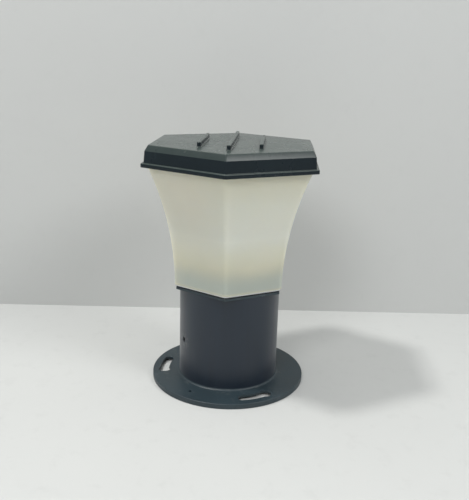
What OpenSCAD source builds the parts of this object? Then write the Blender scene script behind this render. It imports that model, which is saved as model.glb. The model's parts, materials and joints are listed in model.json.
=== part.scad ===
// Bollard light: a round pole on a slotted flange, a flared hexagonal diffuser and a lift-off lid.
// Origin at the middle of the flange's underside, +Z up, one corner of the hexagon towards -Y.

/* [Pole] */
// Outside diameter of the pole
pole_d = 97; // [92:0.5:120]
// Wall of the pole
pole_wall = 3; // [2:0.25:3.5]
// Length of the pole between the flange and the head
pole_l = 92; // [90:1:400]

/* [Base flange] */
// How far the flange reaches beyond the pole
flange_reach = 26.5; // [24:0.5:45]
// Height of the flange's rim
flange_h = 5; // [4.5:0.5:8]
// Thickness of the flange's plate
plate_t = 2.2; // [1.6:0.1:2.6]
// Width of the rim below the plate
rim_w = 2.5; // [2:0.5:3]
// Bevel on the flange's top edge
rim_bevel = 0.5; // [0.2:0.1:1]
// Radius of the fillet round the pole's foot
foot_r = 2; // [1:0.5:2.5]
// Height of the sleeve inside the pole
sleeve_h = 50; // [44:1:55]
// Wall of the sleeve
sleeve_wall = 4; // [3:0.5:6]

/* [Fixing slots] */
// Number of arc slots
slot_count = 3; // [2:1:4]
// Distance from the pole to the slots' centre line
slot_gap = 15; // [12:0.5:16]
// Width of a slot
slot_w = 9; // [6:0.5:10]
// Diameter of a slot's wide end
slot_end_d = 11.5; // [10.5:0.5:12]
// Angle between the centres of a slot's two ends
slot_sweep = 21; // [12:1:30]
// Angle from a slot's mark to the centre of its narrow end
slot_lead = 12.5; // [5:0.5:15]
// Diameter of the small locating hole
pilot_d = 3; // [2:0.5:4]
// Distance from the pole to the locating hole
pilot_gap = 13.5; // [8:0.5:16]

/* [Pole screws] */
// Diameter of the grub screws
grub_d = 5; // [4:1:6]
// Length of the grub screws
grub_l = 6; // [5:0.5:6.5]
// Height of the grub screws above the flange
grub_up = 40; // [15:1:40]
// Direction of the first grub screw
grub_angle = -148; // [-170:1:-100]

/* [Head] */
// Thickness of the hexagonal plate on the pole
head_plate_t = 2; // [1.5:0.5:4]
// Depth of the plug inside the pole
plug_h = 15; // [12:1:20]
// Wall of the plug
plug_wall = 6; // [5.5:0.5:6.5]
// Space between the plug and the boss that the diffuser drops over
boss_gap = 2.5; // [2:0.5:3]
// Height of the boss above the plate
boss_h = 7; // [6:0.5:10]
// Wall of the boss
boss_wall = 3; // [2:0.5:3]
// Thickness of the boss's top
boss_top_t = 3; // [2:0.5:4]

/* [Diffuser] */
// Visible height of the diffuser
diffuser_h = 113.6; // [90:0.1:140]
// How far each flat's foot stands out beyond the pole
diffuser_out = 1.7; // [1:0.1:4]
// Radius of the flare
flare_r = 296; // [250:1:500]
// Wall of the diffuser
diffuser_wall = 2.5; // [2:0.1:3]
// Rounding of the foot's edge
foot_edge_r = 3; // [2:0.5:4]
// Height of the upright rim inside the lid
rim_h = 6; // [5:0.5:7]
// Thickness of the gasket under the diffuser
gasket_t = 1; // [0.8:0.2:2]
// Diameter of the diffuser's screws
screw_d = 4; // [3:0.5:4]

/* [Lid] */
// Clearance between the lid and the diffuser's rim
lid_clear = 0.35; // [0.3:0.05:0.6]
// Wall of the lid's skirt at its foot
lid_wall = 2.6; // [2.2:0.1:4]
// Height of the lip
lip_h = 3.7; // [2.5:0.1:5]
// How far the lip stands out from the skirt
lip_out = 2.1; // [1:0.1:5]
// Height of the lid up to its chamfer
skirt_h = 14.15; // [13:0.05:18]
// Draw-in of the skirt over its height
skirt_draft = 1.15; // [0:0.05:1.5]
// Height of the chamfer
chamfer_h = 5.25; // [4.5:0.05:7]
// Width of the chamfer
chamfer_w = 2.85; // [1:0.05:4]
// Thickness of the lid's top
lid_top_t = 3; // [2.5:0.5:4]
// Thickness of the lid's gasket
lid_gasket_t = 0.9; // [0.6:0.1:1.2]

/* [Ribs] */
// Distance between the ribs
rib_pitch = 27; // [18:0.5:32]
// Width of a rib
rib_w = 3.4; // [2:0.1:6]
// Height of a rib
rib_h = 4.6; // [2:0.1:8]
// Length of the middle rib
mid_rib_l = 117; // [60:1:130]
// Shift of the middle rib along Y
mid_rib_y = -1.5; // [-6:0.5:6]
// Length of the outer ribs
side_rib_l = 74; // [40:1:80]
// Shift of the outer ribs along Y
side_rib_y = -8; // [-8:0.5:8]

/* [Lamp] */
// Diameter of the lamp's screw cap
lamp_cap_d = 26.5; // [26.2:0.1:26.6]
// Diameter of the lamp's globe
lamp_d = 60; // [45:1:62]
// Length of the lamp, contact to crown
lamp_l = 104; // [90:1:110]
// Clearance between the lamp's cap and the holder's shell
lamp_fit = 0.08; // [0.03:0.01:0.1]

/* [Holder] */
// Outside diameter of the holder
holder_d = 41; // [38:0.5:42]
// Depth of the holder
holder_h = 42; // [40:0.5:44]
// How far the holder stands up through the boss
holder_up = 2; // [1:0.5:4]
// Thickness of the bracket's steel strip
strip_t = 1.5; // [1:0.25:2]
// Width of the bracket's strip
strip_w = 14; // [12:1:16]

/* [Wiring] */
// Distance between the terminals
pole_pitch = 9; // [8:0.5:9.5]
// Diameter of the wires over their insulation
wire_d = 2.4; // [1.8:0.1:2.6]
// Bend radius of the wires
wire_bend = 5; // [4.5:0.5:5]
// Diameter of the supply cable's hole in the grommet
cable_d = 10; // [6:0.5:12]
// Distance from the axis to the earth screw
earth_y = 28.5; // [27:0.5:30]

/* [Hidden] */

$fn = 96;
eps = 0.5;                 // how far a cut runs past the face that it opens
fit = 0.05;                // radial clearance of a close fit
screw_fit = 0.02;          // radial clearance of a screw in its thread
hole_fit = 0.3;            // radial clearance of a screw in a plain hole
third = 360/3;

pole_r = pole_d/2;
bore_r = pole_r - pole_wall;
flange_r = pole_r + flange_reach;
slot_r = pole_r + slot_gap;
pilot_r = pole_r + pilot_gap;
pilot_angle = 240;
slot_angle = 180;
sleeve_r = bore_r - fit;
sleeve_in_r = sleeve_r - sleeve_wall;
plate_z = flange_h - plate_t;
foot_out_r = pole_r + fit + foot_r;
grub_z = flange_h + grub_up;
grub_sink = 0.4;           // how far a grub screw sits below the pole's face
key_depth = 2;

pole_top = flange_h + pole_l;
seat_z = pole_top + head_plate_t;
plug_r = bore_r - fit;
plug_in_r = plug_r - plug_wall;
boss_r = plug_in_r - boss_gap;
boss_in_r = boss_r - boss_wall;
boss_z = seat_z + boss_h;
boss_under_z = boss_z - boss_top_t;
holder_r = holder_d/2;
holder_gap = 1;            // round the holder where it comes up through the boss
holder_hole_r = holder_r + holder_gap;
screw_ring_r = plug_r - plug_wall/2;
screw_depth = 10;          // depth of the threaded holes for the diffuser's screws
screw_bite = 8;            // how far those screws reach into the holes
cut_back = 1;              // how far a cross hole starts behind the wall that it goes through

diffuser_z = seat_z + gasket_t;
foot_a = pole_r + diffuser_out;
flare_x = foot_a + flare_r;
rim_a = flare_at(diffuser_h, flare_r);
rim_in_a = flare_at(diffuser_h, flare_r + diffuser_wall);
flare_steps = 24;
foot_steps = 5;
floor_gap = 0.5;           // from the boss to the hole in the diffuser's floor
floor_r = boss_r + floor_gap;
gasket_in = 0.6;           // how far the gasket's edge lies inside the head's
washer_t = 0.8;
washer_r = 4.4;

lid_z = diffuser_z + diffuser_h;
lid_in_a = rim_a + lid_clear;
skirt_a = lid_in_a + lid_wall;
lip_a = skirt_a + lip_out;
shoulder_a = skirt_a - skirt_draft;
crown_a = shoulder_a - chamfer_w;
lid_h = skirt_h + chamfer_h;
ceiling = lid_h - lid_top_t;
roof_wall = 1.3;           // wall left beside the hollow, at the lid's crown
roof_a = crown_a - roof_wall;
ledge = rim_h + lid_gasket_t;
slice_t = 0.01;            // thickness of the slices that the lid is stretched over

clip_t = 0.8;
clip_w = 12;
clip_gap = 0.3;            // from the clip's bump to the diffuser's rim
clip_bump_r = 1.4;
clip_bump_out = 2.1;       // how far the bump stands out from the clip's arm
clip_arm_a = rim_in_a - clip_gap - clip_bump_out;
clip_foot_l = 12;
clip_foot_a = clip_arm_a - clip_foot_l;
clip_screw_in = 4.5;       // from the end of the clip's foot to its screw
clip_screw_a = clip_foot_a + clip_screw_in;
clip_hole_fit = 0.1;
clip_bump_z = 3;
clip_boss_h = 2;
clip_boss_r = 4.5;
clip_top = ceiling - clip_boss_h;
clip_low = -4;             // lower end of the arm, from the lid's foot
clip_screw_d = 3;
clip_screw_up = 3.4;       // depth of the screw's hole above the boss's face
clip_screw_end = 0.4;      // from the screw's end to the bottom of its hole

lamp_r = lamp_d/2;
lamp_cap_r = lamp_cap_d/2;
lamp_cap_h = 23.5;
neck_flare = 0.75;         // how far the lamp's neck stands out from its cap
lamp_neck_r = lamp_cap_r + neck_flare;
shell_in_r = lamp_cap_r + lamp_fit;
shell_t = 0.5;
shell_r = shell_in_r + shell_t;
holder_top = boss_z + holder_up;
holder_z = holder_top - holder_h;
well_r = shell_r + fit;
contact_t = 0.8;
spring_h = 2.3;            // height of the holder's centre contact under the lamp
contact_h = 1.6;           // height of the lamp's own centre contact
insulator_h = 3;
neck_gap = 0.6;            // from the holder's rim to the lamp's neck
lamp_neck_z = holder_top + neck_gap;
lamp_cap_z = lamp_neck_z - lamp_cap_h + insulator_h;
lamp_tip_z = lamp_cap_z - insulator_h - contact_h;
well_z = lamp_tip_z - spring_h;
lamp_crown_z = lamp_tip_z + lamp_l;
globe_z = lamp_crown_z - lamp_r;
globe_seam_drop = 10;      // from the globe's centre down to its seam
globe_seam_z = globe_z - globe_seam_drop;
globe_seam_r = sqrt(lamp_r*lamp_r - pow(globe_z - globe_seam_z, 2));
globe_wall = 1.5;
globe_in_r = lamp_r - globe_wall;

leg_gap = 3;               // from the holder to the bracket's legs
leg_x = holder_r + leg_gap;
tab_l = 9;
tab_screw_in = 4;          // from a leg's outer face to its tab's screw
tab_screw_x = leg_x + strip_t + tab_screw_in;
strip_z = holder_z - strip_t;
holder_screw_x = 9;

block_ends = 7;            // length of the block beyond its three terminals
block_l = 3*pole_pitch + block_ends;
block_w = 18;
block_h = 14;
block_z = strip_z - block_h;
fixing_gap = 1;            // from the last terminal's edge to the block's fixing
fixing_x = pole_pitch*1.5 + fixing_gap;
head_room_r = 3;           // pocket in the block for a holder screw's head
head_room_h = 2.2;
wire_fit = 0.2;            // radial clearance of a wire in the hole that it enters
term_screw_y = 5.5;
term_hole_h = 5;
term_screw_l = 4.5;
holder_hole_h = 9;
holder_bite = 8;           // how far the holder's screws reach into it
holder_step = 1.5;         // from the holder's skirt in to its base
well_floor = 1;            // height of the holder's full width below the well
well_r_in = 9;             // hole in the bottom of the shell
shell_short = 2;           // from the shell's top up to the holder's rim
wire_r = wire_d/2;
wire_z = block_z + block_h/2;
wire_y = block_w/2 + wire_bend;
entry_depth = 5;
term_screw_d = 3;

grommet_wall = 7;
grommet_hole_r = cable_d/2 + grommet_wall;
grommet_lip = 3;
grommet_lip_t = 2;
earth_boss_r = 5;
earth_boss_h = 7;
earth_boss_floor = 1;      // metal left under the earth screw's hole
earth_bite = 5;            // how far the earth screw reaches into its boss
earth_z = flange_h + earth_boss_h;
tag_t = 0.8;
tag_r = 4.4;
tag_hole_fit = 0.1;
tag_strap_w = 3;
barrel_wall = 0.6;
barrel_r = wire_r + barrel_wall;
barrel_gap = 4;            // from the earth screw's axis to the tag's barrel
earth_run_z = earth_z + barrel_r;

housing_color = [0.20, 0.235, 0.26];
opal_color = [0.80, 0.80, 0.75];
steel_color = [0.72, 0.73, 0.74];
brass_color = [0.80, 0.66, 0.32];
rubber_color = [0.10, 0.10, 0.11];

// Shared shapes

module ring(r, in_r, h) {
    difference() {
        cylinder(r = r, h = h);
        translate([0, 0, -eps]) cylinder(r = in_r, h = h + 2*eps);
    }
}

module hex_prism(a, h) {
    rotate([0, 0, 30]) cylinder(r = a/cos(30), h = h, $fn = 6);
}

module thirds(from) {
    for (i = [0:2]) rotate([0, 0, from + i*third]) children();
}

// A pan-head screw that points down, with the underside of its head at z = 0.
module pan_screw(d, l, head_r, head_h) {
    difference() {
        cylinder(r = head_r, h = head_h);
        translate([0, 0, head_h - head_h*0.4]) cross_slot(head_r*1.1, head_h);
    }
    translate([0, 0, -l]) cylinder(r = d/2, h = l);
}

module cross_slot(l, h) {
    slot_t = 0.9;
    for (a = [0, 90]) rotate([0, 0, a]) translate([-l/2, -slot_t/2, 0]) cube([l, slot_t, h]);
}

// Base

module slot_cut() {
    rotate([0, 0, -slot_lead]) {
        rotate_extrude(angle = slot_sweep)
            translate([slot_r - slot_w/2, -eps]) square([slot_w, flange_h + 2*eps]);
        translate([slot_r, 0, -eps]) cylinder(d = slot_w, h = flange_h + 2*eps);
        rotate([0, 0, slot_sweep]) translate([slot_r, 0, -eps])
            cylinder(d = slot_end_d, h = flange_h + 2*eps);
    }
}

module flange_outline() {
    difference() {
        union() {
            translate([0, plate_z]) square([flange_r - rim_bevel, plate_t]);
            translate([flange_r - rim_w, 0]) square([rim_w - rim_bevel, flange_h]);
            translate([flange_r - rim_w, 0]) square([rim_w, flange_h - rim_bevel]);
            polygon([[flange_r - rim_bevel, flange_h], [flange_r, flange_h - rim_bevel],
                [flange_r - rim_w, flange_h - rim_bevel]]);
            translate([sleeve_in_r, 0]) square([foot_out_r - sleeve_in_r, flange_h]);
            translate([pole_r + fit, flange_h]) square([foot_r, foot_r]);
        }
        translate([foot_out_r, flange_h + foot_r]) circle(r = foot_r);
    }
}

module base_flange() {
    color(housing_color) difference() {
        union() {
            rotate_extrude() flange_outline();
            translate([0, -earth_y, plate_z]) cylinder(r = earth_boss_r, h = earth_z - plate_z);
        }
        for (i = [0:slot_count - 1]) rotate([0, 0, slot_angle + i*360/slot_count]) slot_cut();
        rotate([0, 0, pilot_angle]) translate([pilot_r, 0, -eps])
            cylinder(d = pilot_d, h = flange_h + 2*eps);
        translate([0, 0, -eps]) cylinder(r = grommet_hole_r, h = flange_h + 2*eps);
        translate([0, -earth_y, flange_h + earth_boss_floor])
            cylinder(r = screw_d/2 + screw_fit, h = earth_boss_h + eps);
    }
}

module base_sleeve() {
    color(housing_color) difference() {
        translate([0, 0, flange_h]) ring(sleeve_r, sleeve_in_r, sleeve_h);
        grub_holes(grub_d/2 + screw_fit, sleeve_in_r - cut_back, sleeve_wall + 2*cut_back);
    }
}

module grub_holes(r, from, l) {
    for (a = [0, 180]) rotate([0, 0, grub_angle + a]) translate([from, 0, grub_z])
        rotate([0, 90, 0]) cylinder(r = r, h = l);
}

module cable_grommet() {
    lip_r = grommet_hole_r + grommet_lip;
    neck_r = grommet_hole_r - fit;
    color(rubber_color) difference() {
        union() {
            translate([0, 0, plate_z - grommet_lip_t]) cylinder(r = lip_r, h = grommet_lip_t);
            translate([0, 0, plate_z - eps]) cylinder(r = neck_r, h = plate_t + 2*eps);
            translate([0, 0, flange_h]) cylinder(r = lip_r, h = grommet_lip_t);
        }
        translate([0, 0, plate_z - grommet_lip_t - eps])
            cylinder(d = cable_d, h = plate_t + 2*grommet_lip_t + 2*eps);
    }
}

// Pole

module pole_tube() {
    color(housing_color) difference() {
        translate([0, 0, flange_h]) ring(pole_r, bore_r, pole_l);
        grub_holes(grub_d/2 + hole_fit, bore_r - cut_back, pole_wall + 2*cut_back);
    }
}

module pole_grub_screws() {
    color(steel_color) for (a = [0, 180])
        rotate([0, 0, grub_angle + a]) translate([pole_r - grub_sink - grub_l, 0, grub_z])
            rotate([0, 90, 0]) difference() {
                cylinder(d = grub_d, h = grub_l);
                translate([0, 0, grub_l - key_depth]) rotate([0, 0, 30])
                    cylinder(r = grub_d*0.28, h = key_depth + eps, $fn = 6);
            }
}

// Head

module screw_ring_holes(r, from, l) {
    thirds(30) translate([screw_ring_r, 0, from]) cylinder(r = r, h = l);
}

module lamp_head() {
    color(housing_color) difference() {
        union() {
            translate([0, 0, pole_top]) hex_prism(pole_r, head_plate_t);
            translate([0, 0, pole_top]) cylinder(r = boss_r, h = head_plate_t + boss_h);
            translate([0, 0, pole_top - plug_h]) cylinder(r = plug_r, h = plug_h);
        }
        translate([0, 0, pole_top - plug_h - eps]) cylinder(r = plug_in_r, h = plug_h + eps);
        translate([0, 0, pole_top - eps])
            cylinder(r = boss_in_r, h = boss_under_z - pole_top + eps);
        translate([0, 0, boss_under_z - eps]) cylinder(r = holder_hole_r, h = boss_top_t + 2*eps);
        screw_ring_holes(screw_d/2 + screw_fit, seat_z - screw_depth, screw_depth + eps);
        for (s = [-1, 1]) translate([s*tab_screw_x, 0, boss_under_z - eps])
            cylinder(r = screw_d/2 + screw_fit, h = boss_top_t + 2*eps);
    }
}

// Diffuser

module diffuser_gasket() {
    color(rubber_color) difference() {
        translate([0, 0, seat_z]) hex_prism(pole_r - gasket_in, gasket_t);
        translate([0, 0, seat_z - eps]) cylinder(r = floor_r, h = gasket_t + 2*eps);
        screw_ring_holes(screw_d/2 + hole_fit, seat_z - eps, gasket_t + 2*eps);
    }
}

// Apothem of an arc that leans outwards with height.
function flare_at(h, arc_r) = flare_x - sqrt(arc_r*arc_r - h*h);

function flare_levels(from, arc_r) = [for (i = [0:flare_steps])
    let (h = from + (diffuser_h - from)*i/flare_steps) [flare_at(h, arc_r), h]];

function foot_levels() = [for (i = [0:foot_steps - 1]) let (t = 90*i/foot_steps)
    [foot_a - foot_edge_r*(1 - sin(t)), foot_edge_r*(1 - cos(t))]];

// A hexagonal solid through a list of [apothem, height] levels.
module hex_loft(levels) {
    last = 6*(len(levels) - 1);
    polyhedron(
        points = [for (l = levels, k = [0:5]) let (r = l[0]/cos(30), t = 30 + k*60)
            [r*cos(t), r*sin(t), l[1]]],
        faces = concat([[for (k = [0:5]) k]], [[for (k = [5:-1:0]) last + k]],
            [for (i = [0:len(levels) - 2], k = [0:5]) let (n = (k + 1)%6)
                [6*i + k, 6*i + 6 + k, 6*i + 6 + n, 6*i + n]]));
}

module diffuser() {
    color(opal_color) translate([0, 0, diffuser_z]) difference() {
        hex_loft(concat(foot_levels(), flare_levels(foot_edge_r, flare_r),
            [[rim_a, diffuser_h + rim_h]]));
        hex_loft(concat(flare_levels(diffuser_wall, flare_r + diffuser_wall),
            [[rim_in_a, diffuser_h + rim_h + eps]]));
        translate([0, 0, -eps]) cylinder(r = floor_r, h = diffuser_wall + 2*eps);
        screw_ring_holes(screw_d/2 + hole_fit, -eps, diffuser_wall + 2*eps);
    }
}

module diffuser_washers() {
    color(rubber_color) thirds(30)
        translate([screw_ring_r, 0, diffuser_z + diffuser_wall])
            ring(washer_r, screw_d/2 + hole_fit, washer_t);
}

module diffuser_screws() {
    color(steel_color) thirds(30)
        translate([screw_ring_r, 0, diffuser_z + diffuser_wall + washer_t])
            pan_screw(screw_d, diffuser_wall + washer_t + gasket_t + screw_bite, 3.9, 2.5);
}

// Lamp holder

module holder_bracket() {
    drop = boss_under_z - strip_z;
    color(steel_color) difference() {
        union() {
            translate([-leg_x - strip_t, -strip_w/2, strip_z])
                cube([2*(leg_x + strip_t), strip_w, strip_t]);
            for (s = [-1, 1]) {
                translate([s > 0 ? leg_x : -leg_x - strip_t, -strip_w/2, strip_z])
                    cube([strip_t, strip_w, drop]);
                translate([s > 0 ? leg_x : -leg_x - tab_l, -strip_w/2, boss_under_z - strip_t])
                    cube([tab_l, strip_w, strip_t]);
            }
        }
        for (s = [-1, 1]) {
            translate([s*tab_screw_x, 0, boss_under_z - strip_t - eps])
                cylinder(r = screw_d/2 + hole_fit, h = strip_t + 2*eps);
            translate([s*holder_screw_x, 0, strip_z - eps])
                cylinder(r = term_screw_d/2 + hole_fit, h = strip_t + 2*eps);
            translate([s*fixing_x, 0, strip_z - eps])
                cylinder(r = term_screw_d/2 + screw_fit, h = strip_t + 2*eps);
        }
    }
}

module bracket_screws() {
    color(steel_color) for (s = [-1, 1])
        translate([s*tab_screw_x, 0, boss_under_z - strip_t]) mirror([0, 0, 1])
            pan_screw(screw_d, strip_t + boss_top_t, 3.4, 2.2);
}

module holder_body() {
    color([0.88, 0.87, 0.83]) difference() {
        union() {
            translate([0, 0, holder_z]) cylinder(r = holder_r - holder_step, h = well_z - holder_z);
            translate([0, 0, well_z - well_floor])
                cylinder(r = holder_r, h = holder_top - well_z + well_floor);
        }
        translate([0, 0, well_z]) cylinder(r = well_r, h = holder_top - well_z + eps);
        for (s = [-1, 1]) {
            translate([s*holder_screw_x, 0, holder_z - eps])
                cylinder(r = term_screw_d/2 + screw_fit, h = holder_hole_h + eps);
            translate([s*pole_pitch, wire_y, holder_z - eps])
                cylinder(r = wire_r + wire_fit, h = entry_depth + eps);
        }
    }
}

module holder_shell() {
    shell_h = holder_top - well_z - shell_short;
    color(brass_color) translate([0, 0, well_z]) {
        ring(shell_r, shell_in_r, shell_h);
        ring(shell_r, well_r_in, shell_t);
    }
}

module holder_contact() {
    color(brass_color) {
        translate([0, 0, well_z]) cylinder(r = 6, h = contact_t);
        translate([0, 0, well_z]) cylinder(r = 3, h = lamp_tip_z - well_z);
    }
}

module holder_screws() {
    color(steel_color) for (s = [-1, 1])
        translate([s*holder_screw_x, 0, strip_z]) mirror([0, 0, 1])
            pan_screw(term_screw_d, strip_t + holder_bite, 2.6, 1.8);
}

// Wiring

module terminal_block() {
    color([0.90, 0.89, 0.85]) difference() {
        translate([-block_l/2, -block_w/2, block_z]) cube([block_l, block_w, block_h]);
        for (i = [-1:1]) {
            translate([i*pole_pitch, -block_w/2 - eps, wire_z]) rotate([-90, 0, 0])
                cylinder(r = wire_r + wire_fit, h = block_w + 2*eps);
            for (s = [-1, 1]) translate([i*pole_pitch, s*term_screw_y, block_z - eps])
                cylinder(r = term_screw_d/2 + screw_fit, h = term_hole_h + eps);
        }
        for (s = [-1, 1]) {
            translate([s*fixing_x, 0, block_z - eps])
                cylinder(r = term_screw_d/2 + wire_fit, h = block_h + 2*eps);
            translate([s*holder_screw_x, 0, block_z + block_h - head_room_h])
                cylinder(r = head_room_r, h = head_room_h + eps);
        }
    }
}

module terminal_screws() {
    cut_w = 0.8;
    cut_depth = 1;
    color(brass_color) for (i = [-1:1], s = [-1, 1])
        translate([i*pole_pitch, s*term_screw_y, block_z]) difference() {
            cylinder(d = term_screw_d, h = term_screw_l);
            translate([-term_screw_d, -cut_w/2, -eps])
                cube([2*term_screw_d, cut_w, cut_depth + eps]);
        }
}

module terminal_fixings() {
    color(steel_color) for (s = [-1, 1]) translate([s*fixing_x, 0, block_z]) mirror([0, 0, 1])
        pan_screw(term_screw_d, block_h + strip_t, 2.6, 1.8);
}

// A quarter bend from +Y at the origin to straight up.
module bend_up() {
    translate([0, 0, wire_bend]) rotate([0, 90, 0])
        rotate_extrude(angle = 90) translate([wire_bend, 0]) circle(r = wire_r);
}

// Out of the block's +Y face and up into the holder.
module riser(x) {
    translate([x, block_w/2 - entry_depth, wire_z]) rotate([-90, 0, 0])
        cylinder(r = wire_r, h = entry_depth);
    translate([x, block_w/2, wire_z]) bend_up();
    translate([x, wire_y, wire_z + wire_bend])
        cylinder(r = wire_r, h = holder_z + entry_depth - 1 - wire_z - wire_bend);
}

module live_wire() {
    color([0.45, 0.27, 0.14]) riser(-pole_pitch);
}

module neutral_wire() {
    color([0.20, 0.35, 0.65]) riser(pole_pitch);
}

// Out of the block's -Y face, down the pole and along to the tag.
module earth_wire() {
    low_z = earth_run_z + wire_bend;
    barrel_in = 3;
    color([0.35, 0.55, 0.20]) {
        translate([0, -block_w/2, wire_z]) rotate([-90, 0, 0])
            cylinder(r = wire_r, h = entry_depth);
        translate([0, -block_w/2, wire_z]) rotate([180, 0, 0]) bend_up();
        translate([0, -wire_y, low_z]) cylinder(r = wire_r, h = wire_z - wire_bend - low_z);
        translate([0, -wire_y - wire_bend, earth_run_z]) bend_up();
        translate([0, -wire_y - wire_bend - barrel_in, earth_run_z]) rotate([-90, 0, 0])
            cylinder(r = wire_r, h = barrel_in);
    }
}

module earth_tag() {
    barrel_end = wire_y + wire_bend;
    barrel_l = earth_y - barrel_gap - barrel_end;
    color(steel_color) difference() {
        union() {
            translate([0, -earth_y, earth_z]) cylinder(r = tag_r, h = tag_t);
            translate([-tag_strap_w/2, -earth_y, earth_z])
                cube([tag_strap_w, earth_y - barrel_end, tag_t]);
            translate([0, -barrel_end - barrel_l, earth_run_z]) rotate([-90, 0, 0])
                cylinder(r = barrel_r, h = barrel_l);
        }
        translate([0, -earth_y, earth_z - eps])
            cylinder(r = screw_d/2 + tag_hole_fit, h = tag_t + 2*eps);
        translate([0, -barrel_end - barrel_l - eps, earth_run_z]) rotate([-90, 0, 0])
            cylinder(r = wire_r + screw_fit, h = barrel_l + 2*eps);
    }
}

module earth_screw() {
    color(brass_color) translate([0, -earth_y, earth_z + tag_t])
        pan_screw(screw_d, tag_t + earth_bite, 3.5, 2.4);
}

// Lamp

module lamp_cap() {
    groove = 0.8;
    pitch = 3.6;
    color([0.75, 0.74, 0.70]) rotate_extrude() polygon(concat(
        [[0, lamp_cap_z], [8, lamp_cap_z], [lamp_cap_r, lamp_cap_z + 2.5]],
        [for (i = [0:3], p = [[0, 0], [-groove, pitch/4], [-groove, pitch/2], [0, pitch*3/4]])
            [lamp_cap_r + p[0], lamp_cap_z + 3.2 + i*pitch + p[1]]],
        [[lamp_cap_r, lamp_neck_z], [0, lamp_neck_z]]));
}

module lamp_insulator() {
    color(rubber_color) translate([0, 0, lamp_tip_z + contact_h])
        cylinder(r1 = 5.5, r2 = 8, h = insulator_h);
}

module lamp_contact() {
    color(brass_color) translate([0, 0, lamp_tip_z]) cylinder(r = 4.5, h = contact_h);
}

module lamp_housing() {
    color([0.92, 0.92, 0.90]) rotate_extrude() polygon([
        [0, lamp_neck_z], [lamp_neck_r, lamp_neck_z], [lamp_neck_r + 1, lamp_neck_z + 8],
        [globe_seam_r, globe_seam_z - 3], [globe_seam_r, globe_seam_z], [0, globe_seam_z]]);
}

module lamp_globe() {
    color([0.96, 0.96, 0.94]) difference() {
        translate([0, 0, globe_z]) sphere(r = lamp_r);
        translate([0, 0, globe_z]) sphere(r = globe_in_r);
        translate([-lamp_d, -lamp_d, globe_seam_z - 2*lamp_d]) cube(2*lamp_d);
    }
}

// Lid

module hex_slice(a, z) {
    translate([0, 0, z]) hex_prism(a, slice_t);
}

module lid_block() {
    hull() {
        hex_slice(skirt_a, 0);
        hex_slice(shoulder_a, skirt_h - slice_t/2);
        hex_slice(crown_a, lid_h - slice_t);
    }
    hex_prism(lip_a, lip_h);
}

module lid_rib(x, y, l) {
    translate([x, y, lid_h - eps]) {
        translate([-rib_w/2, -(l - rib_w)/2, 0]) cube([rib_w, l - rib_w, rib_h + eps]);
        for (s = [-1, 1]) translate([0, s*(l - rib_w)/2, 0]) cylinder(d = rib_w, h = rib_h + eps);
    }
}

module clip_posts(r, from, l) {
    thirds(0) translate([clip_screw_a, 0, from]) cylinder(r = r, h = l);
}

module lid() {
    color(housing_color) translate([0, 0, lid_z]) difference() {
        union() {
            difference() {
                lid_block();
                translate([0, 0, -eps]) hex_prism(lid_in_a, ledge + eps);
                translate([0, 0, ledge - eps]) hex_prism(roof_a, ceiling - ledge + eps);
            }
            clip_posts(clip_boss_r, clip_top, clip_boss_h + eps);
            lid_rib(0, mid_rib_y, mid_rib_l);
            for (s = [-1, 1]) lid_rib(s*rib_pitch, side_rib_y, side_rib_l);
        }
        clip_posts(clip_screw_d/2 + screw_fit, clip_top - eps, clip_screw_up + eps);
    }
}

module lid_gasket() {
    color(rubber_color) translate([0, 0, lid_z + rim_h]) difference() {
        hex_prism(rim_a, lid_gasket_t);
        translate([0, 0, -eps]) hex_prism(roof_a, lid_gasket_t + 2*eps);
    }
}

module lid_clips() {
    color(steel_color) translate([0, 0, lid_z]) thirds(0) {
        difference() {
            translate([clip_foot_a, -clip_w/2, clip_top - clip_t])
                cube([clip_arm_a - clip_foot_a, clip_w, clip_t]);
            translate([clip_screw_a, 0, clip_top - clip_t - eps])
                cylinder(r = clip_screw_d/2 + clip_hole_fit, h = clip_t + 2*eps);
        }
        translate([clip_arm_a - clip_t, -clip_w/2, clip_low])
            cube([clip_t, clip_w, clip_top - clip_low]);
        intersection() {
            translate([rim_in_a - clip_gap - clip_bump_r, clip_w/2, clip_bump_z])
                rotate([90, 0, 0])
                cylinder(r = clip_bump_r, h = clip_w);
            translate([clip_arm_a - clip_t, -clip_w/2, clip_bump_z - clip_bump_r])
                cube([3*clip_bump_r, clip_w, 2*clip_bump_r]);
        }
    }
}

module lid_clip_screws() {
    color(steel_color) translate([0, 0, lid_z + clip_top - clip_t]) thirds(0)
        translate([clip_screw_a, 0, 0]) mirror([0, 0, 1])
            pan_screw(clip_screw_d, clip_t + clip_screw_up - clip_screw_end, 2.8, 1.6);
}

base_flange();
base_sleeve();
cable_grommet();
pole_tube();
pole_grub_screws();
lamp_head();
diffuser_gasket();
diffuser();
diffuser_washers();
diffuser_screws();
holder_bracket();
bracket_screws();
holder_body();
holder_shell();
holder_contact();
holder_screws();
terminal_block();
terminal_screws();
terminal_fixings();
live_wire();
neutral_wire();
earth_wire();
earth_tag();
earth_screw();
lamp_cap();
lamp_insulator();
lamp_contact();
lamp_housing();
lamp_globe();
lid();
lid_gasket();
lid_clips();
lid_clip_screws();
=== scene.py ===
import json
import math

import bmesh
import bpy
from bpy.props import FloatProperty, FloatVectorProperty, IntProperty, PointerProperty
from mathutils import Matrix, Vector


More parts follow.
